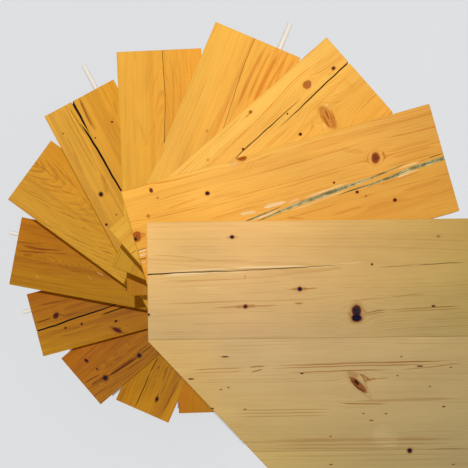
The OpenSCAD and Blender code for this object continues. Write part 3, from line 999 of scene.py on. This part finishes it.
# Thin marks: x and y at both ends, half width, strength, and how far it bows where it isn't straight.
# Dark lines:
LINES = {
    "tread_01": [(444, 152.8, 427, 158.6, 1.6, 0.8), (428, 158.4, 418, 162, 1.2, 0.4),
        (136.8, 251.2, 147, 247.6, 1.6, 0.8), (139.6, 260, 147, 257.8, 1.4, 0.8)],
    "tread_02": [(254, 139, 230, 164, 1.4, 0.7), (241, 155, 226, 168, 1.2, 0.5),
        (130.6, 254.6, 136.2, 249.8, 1.3, 0.8), (325.5, 111.5, 328.3, 117.5, 2.4, 0.3)],
    "tread_04": [(165, 132, 164, 172, 1.2, 0.45)],
    "tread_05": [(66.3, 103.5, 88, 138, 2.6, 0.6), (70, 100.5, 87, 130, 2, 0.45),
        (61, 107, 76, 132, 2, 0.3), (80.5, 102, 89, 122, 2.4, 0.35)],
    "tread_08": [(99, 315.8, 129, 305.4, 4.6, 1), (35, 323.4, 53, 317.8, 3, 0.8),
        (110, 306.6, 122, 302.4, 3.6, 0.9)],
    "tread_09": [(107.6, 376.9, 138.6, 357, 2.2, 0.75), (111, 372.4, 137, 354.9, 1.9, 0.7, 2),
        (86, 390.4, 105, 379.6, 3.4, 0.5), (140.5, 354, 152, 345.6, 3, 0.75),
        (118, 367, 139, 356, 1.5, 0.45)],
    "tread_10": [(158.6, 356, 150, 373, 4, 0.75), (151, 370, 133, 411, 4, 0.85, 3),
        (160, 392, 154, 405, 2, 0.6), (166, 366, 164, 374, 3, 0.4)],
    "landing_plank_1": [(147, 274.2, 238, 269.5, 1.5, 0.5), (228, 269.9, 312, 266.9, 1.4, 0.55),
        (300, 267.2, 336, 265, 1, 0.4), (377, 267.4, 420, 264.5, 1.4, 0.4),
        (412, 265.2, 468, 262, 1.7, 0.6)],
    "landing_plank_2": [(354.2, 379.8, 359, 385.4, 5, 1), (350.6, 377.5, 364, 392, 3, 0.6, -5),
        (358.5, 388, 365, 392.4, 4, 0.4)],
}
# Pale raised splinters:
PALE = {
    "tread_01": [(350, 182, 300, 199.5, 4, 0.7), (352, 188, 284, 213.5, 4, 0.35),
        (288, 201, 262, 208, 8, 1), (258, 211.5, 238, 214.5, 6, 0.9), (283, 208.6, 250, 221, 4.5, 0.9),
        (301, 198.4, 286, 204, 5, 0.6), (421, 168.6, 394, 178.5, 3, 0.8), (420, 161.6, 396, 169.6, 3, 0.9),
        (229, 162, 238, 164.5, 9, 0.3), (374, 150, 372.6, 165, 2.6, 0.2, -6),
        (379, 150, 380, 165.5, 2.6, 0.2, 6), (137.5, 252.5, 147, 249, 5, 1),
        (138.5, 256.5, 147, 253.5, 5, 0.9), (141, 263, 147, 261.5, 4, 0.5)],
    "tread_02": [(324.5, 104.4, 328.5, 105.4, 4, 0.45), (323.5, 123, 327, 131.5, 4, 0.4),
        (311, 82, 313, 88, 4, 0.4)],
    "tread_07": [(36, 274.5, 39, 279, 3, 0.35), (96, 271.5, 104, 276, 3, 0.35),
        (88, 276, 91, 280, 2.5, 0.3)],
    "landing_plank_1": [(156, 272.4, 240, 268, 4, 0.55), (158, 275.6, 215, 272.8, 6, 0.55),
        (205, 272.6, 250, 271.6, 4, 0.6), (222, 268.4, 312, 265.6, 4, 0.6),
        (305, 268, 334, 265.6, 2.6, 0.45), (326, 265.5, 367, 261.8, 2.2, 0.3),
        (194, 288.5, 222, 287.5, 4, 0.35)],
    "landing_plank_2": [(372, 428, 398, 448, 34, 0.09)],
}
# Warm stripes of grain:
STRIPES = {
    "tread_01": [(395, 200.5, 364, 209, 6, 0.5), (418, 168, 360, 192, 8, 0.35, -6),
        (284, 217.4, 306, 218.6, 5, 0.6), (164, 210, 203, 196.5, 5, 0.45), (206, 199, 246, 190, 6, 0.35),
        (170, 214, 240, 200, 3, 0.3), (250, 175, 340, 150, 12, 0.2, 4), (280, 190, 352, 168, 6, 0.25, 3),
        (384, 168, 436, 150, 10, 0.25), (382.5, 150.5, 385.5, 160, 4.4, 1.2),
        (386, 160, 440, 145.5, 7, 0.5, 3), (384, 153, 438, 138.5, 5, 0.4, 2),
        (388, 166.5, 443, 151.5, 4, 0.5), (400, 192, 446, 178, 8, 0.55), (372, 187, 424, 170, 5, 0.5),
        (330, 216, 366, 205, 5, 0.6), (358, 213.5, 412, 196.5, 8, 0.4), (340, 150, 366, 152, 9, 0.35),
        (398, 204, 440, 190, 4, 0.35), (246.5, 156, 239, 160, 4, 1.2), (246, 160, 234, 165, 9, 0.35),
        (228, 161.5, 239, 166, 9, 0.45), (249, 160, 243, 170, 2.4, 0.5, 4),
        (253, 160, 247, 171, 2, 0.45, 4), (371.2, 150, 370, 166, 2.4, 0.9, -8),
        (380.5, 149.5, 381, 166, 2, 0.6, 8), (368, 152, 366.5, 165, 1.8, 0.35, -8)],
    "tread_02": [(338, 66, 326, 77, 5, 0.5), (250.6, 112, 245.4, 118, 3.6, 1.1),
        (248, 114, 241, 122, 3, 0.4), (342, 76, 356, 92, 9, 0.25), (331, 107, 336, 121, 3, 1, -2),
        (324.5, 109, 330, 121, 3.4, 1.6), (321.5, 114, 329.5, 130, 3, 1.7, 3), (330, 113, 334.5, 128, 3, 1),
        (284, 130, 262, 150, 6, 0.35), (352, 72, 300, 122, 3, 0.4), (358, 80, 346, 96, 3, 0.4)],
    "tread_03": [(268, 42, 236, 112, 8, 0.9, -6), (274, 45, 246, 105, 6, 0.72, -5),
        (282, 49, 251, 108, 10, 0.9, -4), (289, 53, 262, 100, 6, 0.72, -3), (296, 57, 280, 86, 6, 0.63, -3),
        (241, 33, 219, 90, 4, 0.36), (226, 100, 200, 150, 6, 0.32)],
    "tread_04": [(124, 54, 126, 140, 3, 0.4), (133, 54, 134, 150, 3, 0.3), (146, 53, 147, 150, 4, 0.3),
        (158, 70, 158, 130, 3, 0.35), (173, 56, 172, 140, 4, 0.55, 3), (180, 56, 181, 120, 3, 0.5),
        (190, 54, 192, 90, 4, 0.4), (151.5, 104, 159.8, 67.5, 2.4, 0.55, 7),
        (172, 104, 161.6, 67.5, 2.4, 0.55, -9), (157, 69, 165, 69, 2.4, 0.5, 4),
        (146, 102, 156, 56, 2.2, 0.4, 9), (183, 104, 166, 56, 2.2, 0.4, -10), (142, 150, 158, 118, 4, 0.3),
        (136, 116, 150, 150, 9, 0.3)],
    "tread_05": [(78, 96, 94, 130, 8, 1.4), (83, 106, 97, 133, 10, 0.7), (60, 108, 100, 178, 4, 0.7),
        (64, 106, 96, 162, 3, 0.7), (101, 172, 108, 196, 12, 0.63), (113, 100, 118, 116, 4, 0.7),
        (72, 150, 84, 176, 8, 0.42)],
    "tread_06": [(33, 159, 46, 170, 4, 0.85, -5), (27, 168, 45, 171.5, 4, 0.76, -7),
        (31, 165, 40, 168, 5, 0.66), (38, 157, 54, 178, 3, 0.9, -6), (29, 174, 53, 179, 3, 0.85, -8),
        (44, 157, 68, 187, 3, 0.95, -5), (36, 179, 67, 188, 3, 0.85, -8), (50, 160, 82, 194, 2.6, 0.85),
        (48, 184, 81, 196, 3, 0.75, -6), (72, 198, 95, 217, 3, 0.6, -4), (76, 190, 96, 215, 2.6, 0.6, 3)],
    "tread_07": [(17, 244.2, 66, 250.4, 5, 1.15, -7), (20, 246.5, 58, 250.4, 3, 1, -5),
        (13, 250.3, 50, 252.8, 4.4, 1.15, -2), (44, 252.6, 70, 254, 3.4, 0.7),
        (15, 241, 46, 243.6, 5, 0.6, -3), (22, 254.6, 34, 255.6, 9, 0.6), (30, 256.8, 53, 261.5, 3, 0.7, 5),
        (55, 255.6, 73, 268.5, 3, 0.5, -22), (61, 257, 79, 269.5, 2.8, 0.5, -19),
        (68, 258.6, 84, 269, 2.6, 0.45, -15), (75.5, 260.6, 90, 269, 2.6, 0.4, -11),
        (34, 271.5, 76, 275.5, 2, 0.4)],
    "tread_08": [(58.5, 313.8, 66.5, 317, 4, 1), (65, 317, 80, 312.6, 5, 0.9, 3),
        (60, 316, 90, 311, 3, 0.6), (36, 306, 74, 299, 6, 0.6), (60, 310, 92, 300.5, 4, 0.6),
        (107, 325, 126, 334.5, 11, 0.75), (109, 331, 124, 327, 7, 0.6), (112, 335, 131, 332, 4, 0.5),
        (40, 334, 100, 322, 3, 0.3)],
    "tread_09": [(104, 379, 142, 354, 9, 1.3), (83, 384, 101, 373.6, 5, 1.2), (90, 386, 106, 376, 9, 0.9),
        (112, 361.4, 123, 355.6, 4, 0.9), (104, 367.6, 113, 362.6, 3.4, 0.8), (126, 353, 138, 345, 4, 0.7),
        (82, 366, 104, 352, 4, 0.4), (86, 373, 112, 356, 3, 0.4), (112, 379, 152, 352.6, 2.4, 0.7),
        (108, 386, 146, 361, 2.4, 0.7), (104, 392, 142, 367, 2.2, 0.6), (116, 383.6, 150, 360.4, 2, 0.6),
        (137, 353, 150, 343.6, 5, 0.8), (98, 392, 122, 379.4, 2.4, 0.6)],
    "tread_10": [(180, 376, 159, 420, 5, 1), (177, 384, 164, 412, 3, 0.85), (169, 364, 162, 382, 9, 0.6),
        (165, 362, 158, 380, 3, 0.7), (172, 366, 167, 380, 3, 0.7), (155, 362, 146, 380, 2.6, 0.7),
        (158.5, 394, 155, 404.5, 4, 1.3), (166, 384, 160, 396, 5, 0.5), (170, 392, 162, 410, 2.4, 0.5)],
    "tread_11": [(187, 390, 187, 414, 4, 0.4), (193, 396, 194, 414, 4, 0.45),
        (203, 400, 198, 413, 4, 0.5, -4)],
    "landing_plank_1": [(289, 289.5, 311, 288.6, 5.5, 1.25), (282, 289.8, 322, 288, 2.4, 1),
        (231, 307.2, 260, 305.8, 5.5, 1.3), (208, 308.2, 284, 304.9, 2.6, 1.1),
        (224, 237.4, 240, 237, 4, 0.79), (150, 304.8, 345, 299, 1.8, 0.66, 1),
        (147, 315, 290, 310.5, 1.6, 0.47), (360, 315.4, 388, 309.2, 2.4, 1.3, 2),
        (384, 309.8, 468, 305.8, 2, 1.1), (361, 317, 388, 311.6, 2.4, 1, 2),
        (384, 312.2, 468, 308.3, 1.8, 0.9), (347.5, 311, 352.5, 318.5, 4, 1),
        (361.5, 308, 368, 314, 3, 0.8), (350, 320.5, 363, 320.5, 4, 0.6, -3),
        (345, 301.5, 392, 297, 1.6, 0.79), (388, 297.3, 428, 292.8, 1.8, 0.77),
        (149, 255, 212, 261, 1.8, 0.66, 3), (150, 281, 296, 275, 1.8, 0.53, -4),
        (150, 288, 310, 279, 1.4, 0.4, -3), (270, 269, 290, 272, 1.4, 0.53, 3)],
    "landing_plank_2": [(186, 370.3, 250, 367.6, 1.9, 1.12), (186, 373.6, 252, 370.8, 1.7, 0.85),
        (248, 367.8, 266, 366.2, 2.4, 1.41, 1), (250, 372.5, 264, 369, 2.8, 1.31),
        (262, 366.4, 468, 360.4, 2.4, 1.41, 1), (262, 369, 440, 364.5, 2.2, 1.31, 2),
        (280, 373.2, 400, 369.5, 2.2, 1.22, 1), (396, 369.8, 468, 362, 2.2, 0.98, -2),
        (226, 410.5, 340, 409, 1.6, 0.88), (228, 413.5, 338, 412.3, 1.8, 0.98),
        (230, 416.6, 336, 415.4, 1.6, 0.88), (345, 401.5, 468, 398.5, 5, 0.62),
        (336, 403, 392, 403.5, 3, 1.06, -2), (346, 371, 360, 377, 9, 0.77),
        (349.5, 374.5, 365.5, 393, 10, 0.9), (358, 372.5, 367, 385, 2.4, 1.8, 3),
        (361, 374, 369, 383, 2.4, 1.7, 3), (364, 376.5, 371, 382.5, 2.2, 1.6, 3),
        (364, 381, 378, 378.3, 2.4, 1.7), (374, 379, 390, 377.6, 2, 1), (362, 376, 368, 391, 4, 0.55),
        (360, 392, 376, 402, 3, 0.44), (250, 441, 468, 438.5, 6, 0.62), (256, 445.5, 468, 443, 3, 0.7),
        (262, 448.5, 440, 448, 2.4, 0.7), (414, 451, 468, 448.6, 2.2, 0.98, 2)],
    "landing_plank_3": [(262, 456.5, 468, 453.5, 3, 0.4), (270, 462, 468, 459, 2, 0.35)],
}
# Knots that are sunk or hollow in the shape itself: x, y and reach
HOLLOWS = {
    "landing_plank_1": [(356.4, 317.6, 10)],
    "landing_plank_2": [(356.6, 382.5, 9)],
    "tread_01": [(136.3, 237.2, 9)],
}
# Open cracks: points as (distance, across from the back edge, width) in millimetres, whether the
# distances run from the outer end, the share of the width left deep down, the depth at which it is
# reached, the shift across per depth, and the look of its walls
CRACKS = {
    "tread_01": [
        ([(0, 148, 9.5), (41, 147, 10), (97, 144.5, 9.5), (155, 137, 7.5), (212, 133.5, 4.5),
          (269, 132.5, 3), (309, 128.5, 0), (350, 124, 0), (436, 118, 0), (600, 108, 0),
          (865, 104, 0)], True, 0.05, 6, 0, "olive"),
        ([(92, 163.5, 0), (150, 156, 3), (208, 149.5, 5), (265, 146, 9), (322, 142, 10.5), (379, 138.5, 10),
          (436, 134, 9), (464, 130, 7), (494, 126.5, 5), (515, 123, 3), (535, 120, 0), (600, 116, 0),
          (865, 112, 0)], True, 0.05, 6, 0, "olive"),
        ([(0, 180, 0), (92, 176, 0), (265, 160, 0), (400, 148, 0), (455, 141, 0), (470, 140, 1.5),
          (491, 138, 3), (530, 133, 6), (550, 130.5, 4), (575, 127, 0),
          (865, 122, 0)], True, 0.05, 6, 0, "olive"),
    ],
    "tread_02": [
        ([(0, 200.5, 8), (7, 200.5, 4.2), (56, 199.5, 3.6), (104, 198.5, 3.6), (152, 196, 3.4),
          (200, 193.2, 2.8), (230, 192.5, 2), (290, 191, 0)], True, 0.2, 60, -0.15, "brown"),
        ([(170, 213, 0), (200, 213, 1.2), (248, 213.4, 2), (300, 212, 3), (344, 211.4, 2.8),
          (382, 210.3, 2.2), (470, 208, 0)], True, 0.2, 60, -0.15, "brown"),
    ],
    "tread_03": [
        ([(0, 161.5, 1.1), (80, 161, 1.1), (152, 155.5, 1.3), (224, 147.7, 1.1), (296, 142, 1.1),
          (400, 136, 0)], True, 0.3, 60, -0.15, "brown"),
    ],
    "tread_04": [
        ([(0, 138, 1.4), (178, 134.5, 1.4), (316, 144.5, 1.6),
          (420, 147, 0)], True, 0.3, 60, -0.15, "brown"),
    ],
    "tread_05": [
        ([(0, 179, 9), (60, 178, 8), (92, 178, 7), (112, 178.5, 4.5), (130, 178.6, 1.6), (146, 178.4, 0),
          (200, 174, 0), (400, 168, 0), (865, 166, 0)], True, 0.25, 60, 0.22, "dark"),
        ([(84, 192, 0), (100, 189.5, 2.2), (116, 187, 4.5), (128, 185.3, 6.5), (152, 184, 7.6),
          (200, 181, 7.6), (248, 178.6, 8), (272, 178.2, 7.5), (296, 179.6, 7), (344, 177, 7),
          (392, 174.5, 6.5), (480, 172, 6), (590, 170, 0)], True, 0.25, 60, 0.22, "dark"),
    ],
    "tread_08": [
        ([(0, 178, 7), (115, 174, 7.5), (156, 167.5, 8), (200, 165.3, 7), (248, 163, 7), (296, 161.3, 6.6),
          (344, 158.3, 5), (368, 155.5, 4), (410, 154, 0)], True, 0.25, 60, 0.22, "dark"),
    ],
    "landing_plank_1": [
        ([(0, 157.3, 3), (50, 160, 2.4), (80, 161.7, 1.8), (130, 162.5, 1.8), (209, 163.7, 1.4),
          (272, 166.4, 1.2), (368, 170, 1), (441, 174, 0.6), (501, 180, 0)], False, 0.3, 60, 0.15, "pale"),
    ],
}
BATTEN_WOOD = {"light": (222, 180, 112), "line": (184, 124, 56)}


# Pieces

def ordered_cracks(plank):
    """The board's cracks from its low edge up, apart where two of them lie side by side."""
    cracks = [Crack(path, plank.length, *rest) for path, *rest in CRACKS.get(plank.node, [])]
    return sorted(cracks, key=lambda crack: crack.across.mean())


def diagonal(plank):
    """Where a landing board begins along a, for each b: at its free end or on the diagonal cut."""
    def start(b):
        return np.clip((CUT_START_Y - plank.corner[1] - b) / math.tan(CUT_SLOPE), 0, None)
    return start


def tread_bores(plank):
    """Bore for the column, and for the shank of a wall pin where the tread has one."""
    bores = [((0, 0, plank.top - BORE_BELOW), (0, 0, plank.top + BORE_ABOVE), COLUMN_R + COLUMN_GAP)]
    if int(plank.node[-2:]) in PINNED:
        ends = [[TREAD_L + along, PIN_FROM_BACK, -plank.thick / 2] for along in (-SHANK_L, SHANK_PAST)]
        bores.append((*plank.to_room(np.array(ends)), SHANK_R + SHANK_GAP))
    return bores


def make_planks():
    """Treads and landing boards in place of the plain solids."""
    walls = [crack_material(name + " crack walls", *tones) for name, tones in CRACK_WALLS.items()]
    planks = [tread_plank(k) for k in range(1, TREADS + 1)] + [landing_plank(i) for i in LANDING_BOARDS]
    for n, plank in enumerate(planks):
        tread = plank.node.startswith("tread")
        spots = []
        for px, py, reach in HOLLOWS.get(plank.node, ()):
            a, b = plank.mark(px, py)[:2]
            spots.append((a * MM, b * MM, reach * MM))
        start = diagonal(plank) if plank.node in CUT_BOARDS else None
        material = pine_material(plank, WOODS[plank.node])
        data = board_surface(plank, [material, *walls], ordered_cracks(plank), spots, start,
                             TREAD_EDGE if tread else LANDING_EDGE, seed=n + 1)
        if tread:
            data = drill(data, tread_bores(plank))
        obj = piece("plank_" + plank.node, data)
        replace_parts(obj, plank.node)


def make_battens():
    """Battens under the landing, with the heads of the screws that hold the boards."""
    head = np.array([(0, -0.0012), (0.3 * SCREW_R, -0.0012), (0.35 * SCREW_R, -0.0028),
                     (0.5 * SCREW_R, -0.0027), (0.85 * SCREW_R, -0.0019), (SCREW_R, -0.0008),
                     (SCREW_R, 0.0002), (0, 0.0002)])
    screws = Faces()
    for n, node in enumerate(name for name in sorted(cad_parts) if name.startswith("landing_batten")):
        low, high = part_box(node)
        plank = Plank(node, (high.x, low.y), math.pi / 2, high.y - low.y, high.x - low.x)
        values = wood(**BATTEN_WOOD, ring=5 + n, pith=(20 + 9 * n, -70, 0.02), seed=20.3 + n)
        material = pine_material(plank, values)
        data = board_surface(plank, [material], ease=BATTEN_EDGE, seed=31 + n, step=BATTEN_STEP)
        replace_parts(piece("batten_" + node[-1], data), node)
        for i in LANDING_BOARDS:
            board_low, board_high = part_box(f"landing_plank_{i}")
            for share in SCREW_SHARES:
                y = board_low.y + (board_high.y - board_low.y) * share
                if low.y + BATTEN_MARGIN < y < high.y - BATTEN_MARGIN:
                    x = (low.x + high.x) / 2 + (SCREW_STAGGER if share < 0.5 else -SCREW_STAGGER)
                    turned_surface(screws, head + (0, low.z), SCREW_SIDES, (x, y))
    piece("batten_screws", screws.mesh("batten_screws", [metal_material("plated steel")]))


def make_sleeves():
    """Sleeves with a collar at both ends, rolled edges and fillets: a lower half and its mirror image."""
    bore = COLUMN_R + COLUMN_GAP
    root = bore + SLEEVE_WALL + COLLAR_FILLET
    bend = np.linspace(0, math.pi / 2, FILLET_POINTS)
    for node in sorted(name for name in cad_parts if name.startswith("sleeve")):
        low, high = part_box(node)
        shoulder = low.z + COLLAR_T
        collar = [(bore, low.z), (COLLAR_R, low.z), (COLLAR_R, shoulder), (bore, shoulder)]
        rim = middle_arcs(rounded_corners(collar, RIM_EDGE))
        fillet = np.stack([root - COLLAR_FILLET * np.sin(bend),
                           shoulder + COLLAR_FILLET * (1 - np.cos(bend))], axis=-1)
        half = np.concatenate([[(bore, low.z)], rim, fillet])
        mirrored = np.stack([half[:, 0], low.z + high.z - half[:, 1]], axis=-1)[::-1]
        faces = Faces()
        turned_surface(faces, np.concatenate([half, mirrored]), SLEEVE_SIDES)
        data = faces.mesh(node, [metal_material("white paint")])
        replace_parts(piece("spacer_" + node[-2:], data), node)


def anchor_places():
    """Centres of the holes in the floor plate."""
    return [turned_point(ANCHOR_CIRCLE_R, 0, (n + 0.5) * 2 * math.pi / ANCHORS) for n in range(ANCHORS)]


def make_plates():
    """Floor plate with its holes, and head plate."""
    for node, edge in PLATE_EDGES.items():
        low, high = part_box(node)
        disc = rounded_corners([(0, low.z), (high.x, low.z), (high.x, high.z), (0, high.z)], edge)
        faces = Faces()
        profile = np.concatenate([[(0, low.z)], middle_arcs(disc), [(0, high.z)]])
        turned_surface(faces, profile, PLATE_SIDES)
        data = faces.mesh(node, [metal_material("white paint")])
        if node == "base_plate":
            data = drill(data, [((x, y, -HOLE_PAST), (x, y, high.z + HOLE_PAST), ANCHOR_HOLE_R)
                                for x, y in anchor_places()])
        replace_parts(piece(node + "_finished", data), node)


def make_anchors():
    """Washer, hexagon nut and rounded thread end on each anchor.
    The nut is a lathe shape whose radius is cut to flat / cos(angle from the middle of a flat)."""
    def hexagon(r, angle):
        flat = (angle + math.pi / 6) % (math.pi / 3) - math.pi / 6
        return np.minimum(r, NUT_FLAT / np.cos(flat))

    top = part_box("base_plate")[1].z
    low, high = top + WASHER_T, top + WASHER_T + NUT_T
    corner = NUT_FLAT / math.cos(math.pi / 6)
    washer = rounded_corners([(0, top), (WASHER_R, top), (WASHER_R, low), (0, low)], WASHER_EDGE)
    nut = np.array([(0, low), (0.94 * NUT_FLAT, low), (corner, low + 0.0014), (corner, low + 0.003),
                    (corner, high - 0.003), (corner, high - 0.0018), (corner - 0.0008, high - 0.0012),
                    (corner - 0.0018, high - 0.0006), (0.94 * NUT_FLAT, high), (0, high)])
    foot = high - 0.001
    turns = [(STUD_R - (THREAD_DEPTH if n % 2 else 0), foot + n * STUD_PITCH / 2)
             for n in range(STUD_TURNS)]
    last = turns[-1][1]
    stud = np.array([(0, foot), *turns, (STUD_R - 0.0016, last + 0.0012), (0, last + 0.0014)])
    faces = Faces()
    for place in anchor_places():
        turned_surface(faces, washer, ROUND_SIDES, place)
        turned_surface(faces, nut, NUT_SIDES, place, hexagon)
        turned_surface(faces, stud, ROUND_SIDES, place)
    piece("anchor_nuts", faces.mesh("anchor_nuts", [metal_material("plated steel")]))


def pin_length(node, outward):
    """Length of a pin along its own axis, from its solid's points."""
    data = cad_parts[node].data
    points = np.zeros(len(data.vertices) * 3)
    data.vertices.foreach_get("co", points)
    along = points.reshape(-1, 3)[:, :2] @ outward
    return along.max() - along.min()


def make_pins():
    """Rod from the tread's end to the wall, with a rounded tip and the thinner shank in the tread."""
    for k in PINNED:
        plank = tread_plank(k)
        node = f"wall_pin_{k:02d}"
        outward = np.array([math.cos(plank.turn), math.sin(plank.turn)])
        sideways = np.array([-outward[1], outward[0]])
        first = np.array(plank.corner) + outward * (TREAD_L - SHANK_L) + PIN_FROM_BACK * sideways
        length = pin_length(node, outward)
        rod = [(0, 0), (SHANK_R, 0), (SHANK_R, SHANK_L), (PIN_R, SHANK_L), (PIN_R, length), (0, length)]
        faces = Faces()
        turned_surface(faces, rounded_corners(rod, PIN_EDGE), ROUND_SIDES)
        lay = np.array([[*sideways, 0], [0, 0, 1], [*outward, 0]])
        faces.points = [points @ lay + (*first, plank.top - plank.thick / 2) for points in faces.points]
        data = faces.mesh(node, [metal_material("white paint")])
        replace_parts(piece("pin_" + node[-2:], data), node)


def paint_column():
    """The column keeps its own solid, which is round already, and gets its paint."""
    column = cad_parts["column"].data
    column.materials.clear()
    column.materials.append(metal_material("white paint"))


# Light, camera and floor

def make_light():
    """Lamp almost straight above and an even sky, which shows itself as a plain backdrop."""
    scene = bpy.context.scene
    scene.view_settings.view_transform = "Standard"
    world = bpy.data.worlds.new("sky")
    world.use_nodes = True
    nodes = Nodes(world.node_tree)
    rays = world.node_tree.nodes.new("ShaderNodeLightPath").outputs
    seen = nodes.most(rays["Is Glossy Ray"], rays["Is Transmission Ray"])
    seen = nodes.most(rays["Is Camera Ray"], seen)
    sky = nodes.mix(seen, (*SKY, 1), linear(*BACKDROP))
    nodes.feed(world.node_tree.nodes["Background"].inputs["Color"], sky)
    scene.world = world
    lamp = bpy.data.lights.new("skylight", "SUN")
    lamp.energy = max(SUN)
    lamp.color = tuple(value / max(SUN) for value in SUN)
    lamp.angle = SUN_SPREAD
    placed("skylight", lamp).rotation_euler = (-math.atan(SUN_LEAN[0]), math.atan(SUN_LEAN[1]), 0)


def make_camera():
    """The photograph's camera: it looks straight down, and the picture is shifted to its nadir."""
    camera = bpy.data.cameras.new("camera")
    camera.sensor_width = SENSOR_MM
    camera.lens = FOCAL_PX / FRAME_PX * SENSOR_MM
    camera.shift_x = (FRAME_PX / 2 - NADIR_PX[0]) / FRAME_PX
    camera.shift_y = (NADIR_PX[1] - FRAME_PX / 2) / FRAME_PX
    obj = placed("camera", camera)
    obj.location = CAMERA
    obj.rotation_euler = (0, 0, -ROLL)
    bpy.context.scene.camera = obj


def make_floor():
    """Pale level floor under the stair."""
    material, nodes, shader = new_material("pale floor")
    shader.inputs["Base Color"].default_value = linear(*BACKDROP)
    shader.inputs["Roughness"].default_value = FLOOR_ROUGHNESS
    sides = (-FLOOR_REACH, FLOOR_REACH)
    faces = Faces()
    faces.grid(np.array([[[x, y, 0] for y in sides] for x in sides], float))
    placed("floor", faces.mesh("floor", [material]))


make_light()
make_camera()
make_floor()
build_knot_group()
build_streak_group()
build_pine_group()
build_paint_group()
make_planks()
make_battens()
make_sleeves()
make_plates()
paint_column()
make_anchors()
make_pins()
